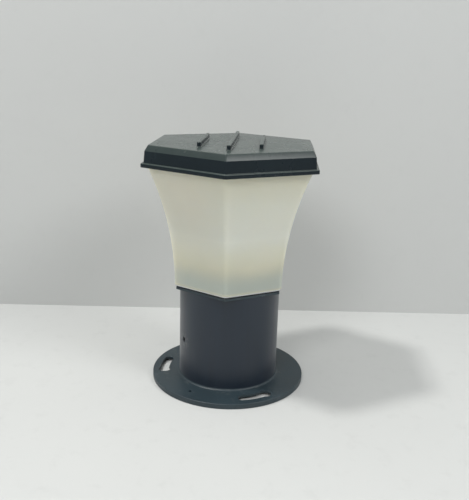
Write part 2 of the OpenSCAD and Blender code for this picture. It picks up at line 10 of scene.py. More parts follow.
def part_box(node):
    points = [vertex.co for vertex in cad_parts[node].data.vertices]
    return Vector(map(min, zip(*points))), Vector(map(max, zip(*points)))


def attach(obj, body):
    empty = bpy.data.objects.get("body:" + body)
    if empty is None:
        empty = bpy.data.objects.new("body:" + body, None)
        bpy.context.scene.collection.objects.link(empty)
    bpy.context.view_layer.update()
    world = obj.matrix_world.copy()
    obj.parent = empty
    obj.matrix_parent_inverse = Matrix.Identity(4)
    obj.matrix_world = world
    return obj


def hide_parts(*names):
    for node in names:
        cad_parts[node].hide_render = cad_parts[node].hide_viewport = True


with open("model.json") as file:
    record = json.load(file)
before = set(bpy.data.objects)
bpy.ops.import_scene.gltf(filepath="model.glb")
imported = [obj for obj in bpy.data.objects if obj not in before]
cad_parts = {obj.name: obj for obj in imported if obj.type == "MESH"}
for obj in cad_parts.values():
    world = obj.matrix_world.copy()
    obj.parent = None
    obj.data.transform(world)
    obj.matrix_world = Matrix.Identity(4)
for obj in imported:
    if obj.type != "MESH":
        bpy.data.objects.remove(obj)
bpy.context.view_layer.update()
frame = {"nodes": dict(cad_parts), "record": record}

bl_info = {
    "name": "Bollard Light",
    "version": (1, 0, 0),
    "blender": (4, 5, 0),
    "location": "View3D > Sidebar > Bollard",
    "description": "Builds a bollard light around its CAD frame, piece by piece",
    "category": "Add Mesh",
}

MM = 0.001
COS30 = math.cos(math.radians(30))
TURN_STEPS = 192           # facets round the large turned pieces
SMALL_STEPS = 40           # facets round small turned pieces
CORNER_STEPS = 6           # facets round one corner of the hexagon
RING_STEPS = 96            # facets round the grommet, the holder, the lamp's collar and its globe
CAP_STEPS = 72             # facets round the lamp's screw cap
SCREW_STEPS = 24           # facets round a screw
DOME_STEPS = 8             # rings up the dome of a screw's head
SLOT_STEPS = 24            # facets along each side and round each end of a fixing slot
FILLET_STEPS = 6           # facets up the fillet at the pole's foot
FLARE_STEPS = 48           # rings up the flare of the diffuser
RIB_END_STEPS = 12         # facets round the end of a rib
THREAD_RINGS = 96          # rings up the thread of the lamp's screw cap
GLOBE_STEPS = 40           # rings from the rim to the top of the lamp's globe
LEAD_STEPS = 20            # facets round a lead
LEAD_BEND_STEPS = 8        # facets along each bend of a lead
QUARTER = math.pi/2
SHARP = math.radians(32)   # an edge that turns by more than this stays crisp
SLIVER = 0.004*MM          # points nearer than this are made one when a mesh is cleared
SAME_POINT = 1e-7          # points nearer than this are one and the same
FLOOR_HOLE = 37.45*MM      # radius of the hole in the diffuser's floor
LID_GAP = 0.35*MM          # room between the diffuser's mouth and the lid
GLOBE_WALL = 1.5*MM        # wall of the lamp's globe
THREAD_PITCH = 0.18        # of a machine screw's diameter
THREAD_DEPTH = 0.55        # of its pitch

# Sizes in millimetres, turns in degrees. Upwards: the head is at the lower end.
SCREWS = {
    "diffuser_screws": dict(body="housing", slot="steel", count=3, turn=30, thread=4.0, head=3.9, tall=2.5,
                            upwards=False),
    "lid_clip_screws": dict(body="lid_body", slot="steel", count=3, turn=0, thread=3.0, head=2.8, tall=1.6,
                            upwards=True),
    "bracket_screws": dict(body="housing", slot="steel", count=2, turn=0, thread=4.0, head=3.4, tall=2.2,
                           upwards=True),
    "holder_screws": dict(body="housing", slot="steel", count=2, turn=0, thread=3.0, head=2.6, tall=1.8,
                          upwards=True),
    "terminal_fixings": dict(body="housing", slot="steel", count=2, turn=0, thread=3.0, head=2.6, tall=1.8,
                             upwards=True),
    "earth_screw": dict(body="housing", slot="brass", count=1, turn=-90, thread=4.0, head=3.5, tall=2.4,
                        upwards=False),
}

# CAD nodes whose shape stays as it is, with their finishes
DRESSED = (("base_sleeve", "housing"), ("lamp_head", "housing"), ("diffuser_gasket", "rubber"),
           ("holder_bracket", "steel"), ("holder_shell", "brass"), ("terminal_block", "terminal_plastic"),
           ("earth_tag", "steel"), ("lid_gasket", "rubber"))

STAGE_REACH = 2.5          # half the width of the table and the wall, and how far the table comes forward
WALL_DEPTH = 0.1789        # from the origin back to the wall
WALL_TURN = math.radians(4.7)
WALL_HEIGHT = 2.2
SKY_COLOUR = (0.96, 0.98, 1.0, 1.0)
SKY_STRENGTH = 0.40
# Name, place, aim, size, power, colour
LIGHTS = (
    ("key_light", (-0.66, -0.20, 1.50), (0, 0, 0.1), 0.18, 12.5, (1.0, 0.99, 0.97)),
    ("front_light", (-0.45, -1.5, 1.4), (0, 0, 0.15), 0.8, 11.0, (1.0, 1.0, 1.0)),
    ("right_light", (1.17, -0.68, 1.16), (0, 0, 0.20), 0.6, 10.0, (1.0, 1.0, 1.0)),
)
LENS = 47.93               # in millimetres, as the sensor is
SENSOR_HEIGHT = 36.0
CAMERA_PLACE = (0.04280, -0.61588, 0.30719)
# The camera's right, up and backward directions
CAMERA_AXES = ((0.99707, 0.07136, 0.02760), (-0.04619, 0.27387, 0.96066), (0.06099, -0.95912, 0.27636))


# Sizes and colours

def low(node):
    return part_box(node)[0]


def high(node):
    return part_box(node)[1]


def length(name, text, default, soft_max=200.0):
    return FloatProperty(name=name, description=text, default=default*MM, min=0.0,
                         soft_max=soft_max*MM, subtype="DISTANCE", unit="LENGTH", precision=5)


def shift(name, text, default):
    return FloatProperty(name=name, description=text, default=default*MM, subtype="DISTANCE",
                         unit="LENGTH", precision=5)


def turning(name, text, degrees):
    return FloatProperty(name=name, description=text, default=math.radians(degrees), subtype="ANGLE",
                         unit="ROTATION")


def colour(name, text, rgb):
    return FloatVectorProperty(name=name, description=text, default=rgb, size=3, min=0.0, max=1.0,
                               subtype="COLOR")


class BollardBaseSizes(bpy.types.PropertyGroup):
    """Sizes of the flange and the pole."""
    slot_ring: length("Slot ring", "Radius of the slots' centre line", 63.5)
    slot_width: length("Slot width", "Width of each fixing slot", 9.0)
    slot_end: length("Slot end", "Diameter of each slot's wide end", 11.5)
    slot_lead: turning("Slot lead", "Turn from a slot's mark to its narrow end", 12.5)
    slot_sweep: turning("Slot sweep", "Turn between the centres of a slot's ends", 21)
    slot_count: IntProperty(name="Slots", description="How many fixing slots", default=3, min=1, max=6)
    plate: length("Plate", "Thickness of the flange's plate", 2.2)
    rim: length("Rim", "Width of the rim under the plate", 2.5)
    rim_round: length("Rim edge", "Rounding of the flange's outer top edge", 0.7)
    foot_fillet: length("Foot fillet", "Fillet round the pole's foot", 2.0)
    pole_wall: length("Pole wall", "Wall of the pole", 3.0)
    pole_edge: length("Pole edge", "Rounding of the pole's two ends", 0.3)
    running_fit: length("Fit", "Gap between the pole and the flange's foot", 0.05)
    sleeve_wall: length("Sleeve wall", "Wall of the sleeve inside the pole", 4.0)
    grommet_lip: length("Grommet lip", "How far the grommet reaches beyond its hole", 3.0)
    screw_turn: turning("Set screw turn", "Turn of the first set screw about the pole", -148)


class BollardHeadSizes(bpy.types.PropertyGroup):
    """Sizes of the diffuser and the lid."""
    flare: length("Flare", "Radius of the arc that each face of the diffuser follows", 296.0, 500.0)
    foot_edge: length("Foot edge", "Rounding of the diffuser's bottom edge", 3.0)
    wall: length("Wall", "Wall of the diffuser", 2.5)
    shade_corner: length("Diffuser corner", "Rounding of the diffuser's upright corners", 5.0)
    lip_out: length("Lip", "How far the lid's lip stands out from its skirt", 2.1)
    lip_height: length("Lip height", "Height of the lid's lip", 3.7)
    skirt_height: length("Skirt height", "Height of the lid's skirt", 14.15)
    skirt_draft: length("Skirt draft", "How far the skirt leans in", 1.1)
    chamfer_width: length("Chamfer width", "How far the chamfer comes in", 2.9)
    chamfer_height: length("Chamfer height", "Height of the chamfer", 5.25)
    lid_top: length("Lid top", "Thickness of the lid's top", 3.0)
    lid_corner: length("Lid corner", "Rounding of the lid's upright corners", 1.2)
    lid_edge: length("Lid edge", "Rounding of the lid's other edges", 0.8)
    post: length("Clip post", "Radius of the posts that the spring clips are screwed to", 4.5)
    rib_pitch: length("Rib pitch", "Distance between the ribs", 27.0)
    rib_width: length("Rib width", "Width of a rib", 3.4)
    rib_long: length("Middle rib", "Length of the middle rib", 117.0)
    rib_short: length("Outer ribs", "Length of the outer ribs", 74.0)
    rib_shift: shift("Middle shift", "Shift of the middle rib along Y", -1.5)
    rib_outer_shift: shift("Outer shift", "Shift of the outer ribs along Y", -8)


class BollardColours(bpy.types.PropertyGroup):
    """Colours of the finishes."""
    coat: colour("Coat", "Dark coat of the pole, the flange and the lid", (0.014, 0.024, 0.030))
    opal: colour("Opal", "Milky plastic of the diffuser", (0.93, 0.89, 0.66))
    table: colour("Table", "The pale surface that it stands on", (0.59, 0.60, 0.59))
    wall: colour("Wall", "The pale wall behind", (0.56, 0.57, 0.56))


def base_sizes():
    return bpy.context.scene.bollard_base


def head_sizes():
    return bpy.context.scene.bollard_head


def colours():
    return bpy.context.scene.bollard_colours


# Mesh helpers

def rounded(points, steps=4):
    """Points (u, v) or (u, v, radius): a path whose corners are rounded where a radius is given."""
    out = []
    for i, p in enumerate(points):
        here = Vector(p[:2])
        r = p[2] if len(p) > 2 else 0.0
        if r <= 0 or i in (0, len(points) - 1):
            out.append(tuple(here))
            continue
        a = (Vector(points[i - 1][:2]) - here).normalized()
        b = (Vector(points[i + 1][:2]) - here).normalized()
        half = a.angle(b)/2
        reach = r/math.tan(half)
        centre = here + (a + b).normalized()*(r/math.sin(half))
        start, end = here + a*reach - centre, here + b*reach - centre
        turn = start.angle_signed(end)
        for k in range(steps + 1):
            t = -turn*k/steps
            spun = Vector((start.x*math.cos(t) - start.y*math.sin(t),
                           start.x*math.sin(t) + start.y*math.cos(t)))
            out.append(tuple(centre + spun))
    return out


def circle_ring(r, z, steps):
    return [(r*math.cos(math.tau*k/steps), r*math.sin(math.tau*k/steps), z) for k in range(steps)]


def hex_ring(a, r, z):
    """A hexagon of apothem a with rounded corners, and a point on each flat beside each corner."""
    support = 0.6*MM
    reach = (a - r)/COS30
    pts = []
    for k in range(6):
        t = math.radians(30 + 60*k)
        cx, cy = reach*math.cos(t), reach*math.sin(t)
        arc = [math.radians(60*k + 60*i/CORNER_STEPS) for i in range(CORNER_STEPS + 1)]
        row = [(cx + r*math.cos(n), cy + r*math.sin(n)) for n in arc]
        first, last = arc[0], arc[-1]
        row.insert(0, (row[0][0] + support*math.sin(first), row[0][1] - support*math.cos(first)))
        row.append((row[-1][0] - support*math.sin(last), row[-1][1] + support*math.cos(last)))
        pts += [(x, y, z) for x, y in row]
    return pts


def loft(bm, rings, closed=False, cap_first=False, cap_last=False):
    """Faces between rings of equal counts. A ring of one point is a pole."""
    rows = [[bm.verts.new(p) for p in ring] for ring in rings]
    pairs = list(zip(rows, rows[1:])) + ([(rows[-1], rows[0])] if closed else [])
    for a, b in pairs:
        n = max(len(a), len(b))
        for k in range(n):
            m = (k + 1) % n
            if len(a) == 1:
                bm.faces.new((a[0], b[m], b[k]))
            elif len(b) == 1:
                bm.faces.new((a[k], a[m], b[0]))
            else:
                bm.faces.new((a[k], a[m], b[m], b[k]))
    if cap_first:
        bm.faces.new(list(reversed(rows[0])))
    if cap_last:
        bm.faces.new(rows[-1])
    return bm


def turned(profile, steps, closed=False):
    """A profile of (radius, z) spun about Z. A radius of nought closes the end with a pole."""
    rings = [[(0.0, 0.0, z)] if r < SAME_POINT else circle_ring(r, z, steps) for r, z in profile]
    return loft(bmesh.new(), rings, closed)


def crisp(mesh):
    """Smooth shading that stops at the crisp edges, on a mesh cleared of slivers."""
    bm = bmesh.new()
    bm.from_mesh(mesh)
    bmesh.ops.remove_doubles(bm, verts=bm.verts, dist=SLIVER)
    bmesh.ops.dissolve_degenerate(bm, edges=bm.edges, dist=SLIVER)
    for e in bm.edges:
        e.smooth = e.calc_face_angle(0.0) < SHARP
    for f in bm.faces:
        f.smooth = True
    bm.to_mesh(mesh)
    bm.free()


def placed(name, data):
    """A new object in the scene."""
    obj = bpy.data.objects.new(name, data)
    bpy.context.scene.collection.objects.link(obj)
    return obj


def mesh_of(name, bm):
    """A mesh with what the bmesh holds. The bmesh is then done with."""
    mesh = bpy.data.meshes.new(name)
    bm.to_mesh(mesh)
    bm.free()
    return mesh


def solid(name, bm, turn=None):
    """An object from a closed mesh, with its faces turned outwards."""
    if turn is not None:
        bm.transform(turn)
    bmesh.ops.remove_doubles(bm, verts=bm.verts, dist=SAME_POINT)
    bmesh.ops.recalc_face_normals(bm, faces=bm.faces)
    mesh = mesh_of(name, bm)
    crisp(mesh)
    return placed(name, mesh)


def settle(obj, edges=True):
    """Turn an object's modifiers into plain mesh."""
    bpy.context.view_layer.update()
    made = bpy.data.meshes.new_from_object(obj.evaluated_get(bpy.context.evaluated_depsgraph_get()))
    obj.modifiers.clear()
    old, obj.data = obj.data, made
    bpy.data.meshes.remove(old)
    made.name = obj.name
    if edges:
        crisp(made)
    return obj


def discard(obj):
    mesh = obj.data
    bpy.data.objects.remove(obj)
    bpy.data.meshes.remove(mesh)


def combine(obj, tool, operation, crossed=False):
    """Cut tool from obj or add it, and throw tool away. A crossed tool runs through itself."""
    mod = obj.modifiers.new("combine", "BOOLEAN")
    mod.operation, mod.solver, mod.object, mod.use_self = operation, "EXACT", tool, crossed
    settle(obj)
    discard(tool)
    return obj


def soften(obj, width, segments=2):
    """Round the crisp edges by a small bevel."""
    mod = obj.modifiers.new("soften", "BEVEL")
    mod.width = width
    mod.segments = segments
    mod.limit_method = "ANGLE"
    mod.angle_limit = SHARP
    mod.use_clamp_overlap = True
    even = obj.modifiers.new("even", "WEIGHTED_NORMAL")
    even.mode, even.weight, even.keep_sharp = "FACE_AREA", 100, True
    return settle(obj, edges=False)


def note_up(obj):
    """Keep how far each face looks up as an attribute that the finish can read."""
    up = obj.data.attributes.new("facing_up", "FLOAT", "FACE")
    up.data.foreach_set("value", [max(0.0, p.normal.z) for p in obj.data.polygons])
    return obj


def wear(obj, material):
    obj.data.materials.clear()
    obj.data.materials.append(material)
    return obj


def present(obj, body, slot, *nodes):
    """Give a finished piece its body and slot, and hide the CAD nodes that it stands for."""
    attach(obj, body)
    if nodes:
        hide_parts(*nodes)
    return obj


# Geometry Nodes helpers

SOCKETS = {"Float": "NodeSocketFloat", "Int": "NodeSocketInt", "Material": "NodeSocketMaterial"}


class Tree:
    """A Geometry Nodes tree with a geometry in and out and named inputs."""

    def __init__(self, name, inputs):
        self.group = bpy.data.node_groups.new(name, "GeometryNodeTree")
        face = self.group.interface
        face.new_socket("Geometry", in_out="INPUT", socket_type="NodeSocketGeometry")
        face.new_socket("Geometry", in_out="OUTPUT", socket_type="NodeSocketGeometry")
        for title, kind in inputs:
            face.new_socket(title, in_out="INPUT", socket_type=SOCKETS[kind])
        self.source = self.add("NodeGroupInput").outputs

    def add(self, kind, links=None, **settings):
        node = self.group.nodes.new(kind)
        for key, value in settings.items():
            setattr(node, key, value)
        for key, value in (links or {}).items():
            socket = node.inputs[key]
            if isinstance(value, bpy.types.NodeSocket):
                self.group.links.new(value, socket)
            else:
                socket.default_value = value
        return node

    def sum(self, operation, *terms):
        return self.add("ShaderNodeMath", dict(enumerate(terms)), operation=operation).outputs[0]

    def finish(self, geometry):
        real = self.add("GeometryNodeRealizeInstances", {"Geometry": geometry}).outputs[0]
        dressed = self.add("GeometryNodeSetMaterial", {"Geometry": real, "Material": self.source["Material"]})
        self.add("NodeGroupOutput", {"Geometry": dressed.outputs[0]})
        return self.group


def grow(obj, group, values):
    """Run a tree on an object and keep its result as plain mesh."""
    mod = obj.modifiers.new(group.name, "NODES")
    mod.node_group = group
    for item in group.interface.items_tree:
        if item.in_out == "INPUT" and item.name in values:
            mod[item.identifier] = values[item.name]
    return settle(obj)


def ring_tree():
    """Set a piece out round the axis: each copy is turned to face outwards."""
    t = Tree("ring_tree", [("Count", "Int"), ("Radius", "Float"), ("Start", "Float"),
                                   ("Height", "Float"), ("Material", "Material")])
    src = t.source
    points = t.add("GeometryNodePoints", {"Count": src["Count"]}).outputs[0]
    index = t.add("GeometryNodeInputIndex").outputs[0]
    step = t.sum("DIVIDE", math.tau, src["Count"])
    angle = t.sum("ADD", t.sum("MULTIPLY", index, step), src["Start"])
    x = t.sum("MULTIPLY", t.sum("COSINE", angle), src["Radius"])
    y = t.sum("MULTIPLY", t.sum("SINE", angle), src["Radius"])
    place = t.add("ShaderNodeCombineXYZ", {0: x, 1: y, 2: src["Height"]}).outputs[0]
    moved = t.add("GeometryNodeSetPosition", {"Geometry": points, "Position": place}).outputs[0]
    turn = t.add("ShaderNodeCombineXYZ", {2: angle}).outputs[0]
    spin = t.add("FunctionNodeEulerToRotation", {0: turn}).outputs[0]
    made = t.add("GeometryNodeInstanceOnPoints",
                 {"Points": moved, "Instance": src["Geometry"], "Rotation": spin}).outputs[0]
    return t.finish(made)


def rows_tree():
    """Set a piece out in rows across X and Y, about the axis."""
    t = Tree("rows_tree", [("Across", "Int"), ("Deep", "Int"), ("Width", "Float"),
                                 ("Depth", "Float"), ("Height", "Float"), ("Material", "Material")])
    src = t.source
    grid = t.add("GeometryNodeMeshGrid", {"Size X": src["Width"], "Size Y": src["Depth"],
                                          "Vertices X": src["Across"], "Vertices Y": src["Deep"]}).outputs[0]
    lift = t.add("ShaderNodeCombineXYZ", {2: src["Height"]}).outputs[0]
    moved = t.add("GeometryNodeSetPosition", {"Geometry": grid, "Offset": lift}).outputs[0]
    made = t.add("GeometryNodeInstanceOnPoints",
                 {"Points": moved, "Instance": src["Geometry"]}).outputs[0]
    return t.finish(made)


def flare_tree():
    """Lean an upright hexagonal skin outwards on an arc, and round its bottom edge."""
    t = Tree("flare_tree", [("Foot", "Float"), ("Arc", "Float"), ("Edge", "Float"),
                                ("Height", "Float"), ("Material", "Material")])
    src = t.source
    z = t.add("ShaderNodeSeparateXYZ", {0: t.add("GeometryNodeInputPosition").outputs[0]}).outputs[2]
    h = t.sum("MINIMUM", z, src["Height"])
    arc2 = t.sum("MULTIPLY", src["Arc"], src["Arc"])
    lean = t.sum("SUBTRACT", src["Arc"], t.sum("SQRT", t.sum("SUBTRACT", arc2, t.sum("MULTIPLY", h, h))))
    under = t.sum("MAXIMUM", t.sum("SUBTRACT", src["Edge"], z), 0.0)
    edge2 = t.sum("MULTIPLY", src["Edge"], src["Edge"])
    left = t.sum("SQRT", t.sum("MAXIMUM", t.sum("SUBTRACT", edge2, t.sum("MULTIPLY", under, under)), 0.0))
    inset = t.sum("SUBTRACT", src["Edge"], left)
    wide = t.sum("SUBTRACT", t.sum("ADD", src["Foot"], lean), inset)
    k = t.sum("DIVIDE", wide, src["Foot"])
    scale = t.add("ShaderNodeCombineXYZ", {0: k, 1: k, 2: 1.0}).outputs[0]
    place = t.add("ShaderNodeVectorMath", {0: t.add("GeometryNodeInputPosition").outputs[0], 1: scale},
                  operation="MULTIPLY").outputs[0]
    moved = t.add("GeometryNodeSetPosition", {"Geometry": src["Geometry"], "Position": place}).outputs[0]
    return t.finish(moved)


def rib_tree():
    """Three ribs side by side, with the outer two shortened at both ends and shifted."""
    t = Tree("rib_tree", [("Pitch", "Float"), ("Shorter", "Float"), ("Middle shift", "Float"),
                              ("Outer shift", "Float"), ("Height", "Float"), ("Material", "Material")])
    src = t.source
    y = t.add("ShaderNodeSeparateXYZ", {0: t.add("GeometryNodeInputPosition").outputs[0]}).outputs[1]
    ends = t.add("GeometryNodeStoreNamedAttribute",
                 {"Geometry": src["Geometry"], "Name": "rib_end", "Value": t.sum("SIGN", y)},
                 data_type="FLOAT", domain="POINT").outputs[0]
    points = t.add("GeometryNodePoints", {"Count": 3}).outputs[0]
    side = t.sum("SUBTRACT", t.add("GeometryNodeInputIndex").outputs[0], 1.0)
    place = t.add("ShaderNodeCombineXYZ",
                  {0: t.sum("MULTIPLY", side, src["Pitch"]), 2: src["Height"]}).outputs[0]
    moved = t.add("GeometryNodeSetPosition", {"Geometry": points, "Position": place}).outputs[0]
    made = t.add("GeometryNodeInstanceOnPoints", {"Points": moved, "Instance": ends}).outputs[0]
    outer = t.sum("ABSOLUTE", side)
    marked = t.add("GeometryNodeStoreNamedAttribute", {"Geometry": made, "Name": "rib_outer", "Value": outer},
                   data_type="FLOAT", domain="INSTANCE").outputs[0]
    real = t.add("GeometryNodeRealizeInstances", {"Geometry": marked}).outputs[0]
    is_outer = t.add("GeometryNodeInputNamedAttribute", {"Name": "rib_outer"}, data_type="FLOAT").outputs[0]
    end = t.add("GeometryNodeInputNamedAttribute", {"Name": "rib_end"}, data_type="FLOAT").outputs[0]
    pull = t.sum("MULTIPLY", t.sum("MULTIPLY", end, is_outer), t.sum("MULTIPLY", src["Shorter"], -0.5))
    slide = t.sum("MULTIPLY", is_outer, t.sum("SUBTRACT", src["Outer shift"], src["Middle shift"]))
    move = t.sum("ADD", t.sum("ADD", pull, slide), src["Middle shift"])
    offset = t.add("ShaderNodeCombineXYZ", {1: move}).outputs[0]
    drawn = t.add("GeometryNodeSetPosition", {"Geometry": real, "Offset": offset}).outputs[0]
    return t.finish(drawn)


def lead_tree():
    """A round lead along a path."""
    t = Tree("lead_tree", [("Radius", "Float"), ("Steps", "Int"), ("Material", "Material")])
    src = t.source
    curve = t.add("GeometryNodeMeshToCurve", {"Mesh": src["Geometry"]}).outputs[0]
    profile = t.add("GeometryNodeCurvePrimitiveCircle",
                    {"Resolution": src["Steps"], "Radius": src["Radius"]}).outputs[0]
    made = t.add("GeometryNodeCurveToMesh",
                 {"Curve": curve, "Profile Curve": profile, "Fill Caps": True}).outputs[0]
    return t.finish(made)


def tree_of(maker):
    """Each tree is made once and shared, under its function's name."""
    return bpy.data.node_groups.get(maker.__name__) or maker()


# Finishes

class Finish:
    """A Principled finish whose patterns read Object coordinates."""

    def __init__(self, name, roughness, metallic=0.0, **sockets):
        self.mat = bpy.data.materials.new(name)
        self.mat.use_nodes = True
        self.nodes, self.links = self.mat.node_tree.nodes, self.mat.node_tree.links
        self.shader = next(n for n in self.nodes if n.type == "BSDF_PRINCIPLED")
        self.set(Roughness=roughness, Metallic=metallic)
        for key, value in sockets.items():
            self.shader.inputs[key.replace("_", " ")].default_value = value
        self.where = self.nodes.new("ShaderNodeTexCoord").outputs["Object"]
        self.last_bump = None

    def set(self, **sockets):
        for key, value in sockets.items():
            self.shader.inputs[key].default_value = value

    def join(self, value, socket):
        if isinstance(value, bpy.types.NodeSocket):
            self.links.new(value, socket)
        else:
            socket.default_value = value

    def stretched(self, x=1.0, y=1.0, z=1.0):
        node = self.nodes.new("ShaderNodeMapping")
        node.inputs["Scale"].default_value = (x, y, z)
        self.links.new(self.where, node.inputs["Vector"])
        return node.outputs[0]

    def noise(self, scale, detail=3.0, rough=0.5, where=None, distortion=0.0):
        node = self.nodes.new("ShaderNodeTexNoise")
        for key, value in (("Scale", scale), ("Detail", detail), ("Roughness", rough),
                           ("Distortion", distortion)):
            node.inputs[key].default_value = value
        self.links.new(where or self.where, node.inputs["Vector"])
        return node.outputs["Fac"]

    def spots(self, scale):
        node = self.nodes.new("ShaderNodeTexVoronoi")
        node.inputs["Scale"].default_value = scale
        self.links.new(self.where, node.inputs["Vector"])
        return node.outputs["Distance"]

    def ramp(self, fac, *stops):
        """stops are (place, value or colour)."""
        node = self.nodes.new("ShaderNodeValToRGB")
        while len(node.color_ramp.elements) < len(stops):
            node.color_ramp.elements.new(0.5)
        for element, (place, value) in zip(node.color_ramp.elements, stops):
            element.position = place
            element.color = (*value, 1.0) if hasattr(value, "__len__") else (value, value, value, 1.0)
        self.links.new(fac, node.inputs["Fac"])
        return node.outputs["Color"]

    def math(self, operation, a, b=0.0):
        node = self.nodes.new("ShaderNodeMath")
        node.operation = operation
        self.join(a, node.inputs[0])
        self.join(b, node.inputs[1])
        return node.outputs[0]

    def axis(self, k):
        node = self.nodes.new("ShaderNodeSeparateXYZ")
        self.links.new(self.where, node.inputs[0])
        return node.outputs[k]

    def between(self, value, start, end):
        node = self.nodes.new("ShaderNodeMapRange")
        node.interpolation_type = "SMOOTHSTEP"
        self.links.new(value, node.inputs["Value"])
        node.inputs["From Min"].default_value = start
        node.inputs["From Max"].default_value = end
        return node.outputs["Result"]

    def near(self, place, start, end):
        """From nought at the start distance from a place to one at the end distance."""
        node = self.nodes.new("ShaderNodeVectorMath")
        node.operation = "DISTANCE"
        self.links.new(self.where, node.inputs[0])
        node.inputs[1].default_value = place
        return self.between(node.outputs["Value"], start, end)

    def mix(self, fac, a, b):
        node = self.nodes.new("ShaderNodeMix")
        node.data_type = "RGBA"
        self.join(fac, node.inputs[0])
        for value, socket in ((a, node.inputs[6]), (b, node.inputs[7])):
            if not isinstance(value, bpy.types.NodeSocket):
                value = (*value, 1.0)
            self.join(value, socket)
        return node.outputs[2]

    def colour(self, value):
        self.links.new(value, self.shader.inputs["Base Color"])
        return self

    def rough(self, fac, lowest, highest):
        node = self.nodes.new("ShaderNodeMapRange")
        self.links.new(fac, node.inputs["Value"])
        node.inputs["To Min"].default_value = lowest
        node.inputs["To Max"].default_value = highest
        self.links.new(node.outputs["Result"], self.shader.inputs["Roughness"])
        return self

    def bump(self, height, depth):
        """Bumps add up: each one starts from the last one's normal."""
        node = self.nodes.new("ShaderNodeBump")
        node.inputs["Distance"].default_value = depth
        node.inputs["Strength"].default_value = 1.0
        self.links.new(height, node.inputs["Height"])
        if self.last_bump is not None:
            self.links.new(self.last_bump, node.inputs["Normal"])
        self.last_bump = node.outputs["Normal"]
        self.links.new(self.last_bump, self.shader.inputs["Normal"])
        return self


def shade(rgb, *k):
    """A colour with each of its parts made darker or lighter, by one number or by three."""
    return tuple(c*s for c, s in zip(rgb, k if len(k) == 3 else k*3))


def dark_coat(name, base, roughness, dust):
    """Fine-grained dark coat with slight drifts of tone, faint rubs and a little dust."""
    f = Finish(name, roughness, Specular_IOR_Level=0.5)
    drift = f.noise(26.0, 4.0, 0.55)
    grain = f.noise(2600.0, 2.0, 0.6)
    tone = f.ramp(drift, (0.3, shade(base, 0.88)), (0.7, shade(base, 1.14)))
    tone = f.mix(f.ramp(grain, (0.35, 0.0), (0.75, 0.22)), tone, shade(base, 1.7))
    rub = f.math("MULTIPLY", f.ramp(f.noise(70.0, 5.0, 0.7, distortion=0.6), (0.56, 0.0), (0.72, 1.0)),
                 f.ramp(f.noise(900.0, 3.0, 0.7), (0.48, 0.0), (0.66, 1.0)))
    dusty = f.math("MULTIPLY", rub, dust)
    tone = f.mix(dusty, tone, (0.30, 0.31, 0.29))
    f.colour(tone)
    f.rough(drift, roughness - 0.06, roughness + 0.08)
    f.bump(grain, 0.02*MM).bump(f.noise(420.0, 2.0, 0.5), 0.03*MM)
    return f.mat


def lid_coat(name, base):
    """The coat on the lid: darker on its sides, with a bloom of dust on the faces that look up."""
    f = Finish(name, 0.4, Specular_IOR_Level=0.25)
    up = f.nodes.new("ShaderNodeAttribute")
    up.attribute_name = "facing_up"
    drift = f.noise(24.0, 4.0, 0.6)
    grain = f.noise(2400.0, 2.0, 0.6)
    side = f.ramp(drift, (0.3, shade(base, 0.5)), (0.7, shade(base, 0.7)))
    # Dust and painted light: the faces that look up get a much lighter colour, which stands in for light and
    # reflection falling on the top.
    dust_and_painted_top_light = f.ramp(f.noise(38.0, 5.0, 0.65), (0.3, (0.047, 0.064, 0.058)), (0.7, (0.066, 0.084, 0.077)))
    tone = f.mix(f.between(up.outputs["Fac"], 0.1, 0.8), side, dust_and_painted_top_light)
    f.colour(f.mix(f.ramp(grain, (0.4, 0.0), (0.75, 0.2)), tone, shade(base, 1.5)))
    f.rough(drift, 0.20, 0.33)
    f.bump(grain, 0.008*MM).bump(f.noise(380.0, 2.0, 0.5), 0.012*MM)
    return f.mat


def pole_coat(name, base, scuff_at):
    """The same coat on the drawn tube: faint lines along it and a scuff beside the set screw."""
    base = shade(base, 0.5, 0.6, 0.85)
    f = Finish(name, 0.4, Specular_IOR_Level=0.55, Sheen_Weight=0.24, Sheen_Roughness=0.35)
    lines = f.noise(180.0, 4.0, 0.6, f.stretched(1.0, 1.0, 0.06))
    grain = f.noise(2200.0, 2.0, 0.6)
    tone = f.ramp(lines, (0.3, shade(base, 0.9)), (0.7, shade(base, 1.12)))
    tone = f.mix(f.ramp(grain, (0.4, 0.0), (0.75, 0.2)), tone, shade(base, 1.6))
    halo = f.near(scuff_at, 11*MM, 3*MM)
    scratch = f.ramp(f.noise(520.0, 4.0, 0.75, f.stretched(1.0, 1.0, 0.35)), (0.5, 0.0), (0.6, 0.8))
    tone = f.mix(f.math("MULTIPLY", halo, scratch), tone, (0.16, 0.17, 0.17))
    f.colour(tone)
    f.rough(lines, 0.34, 0.48)
    f.bump(grain, 0.018*MM).bump(lines, 0.03*MM)
    return f.mat


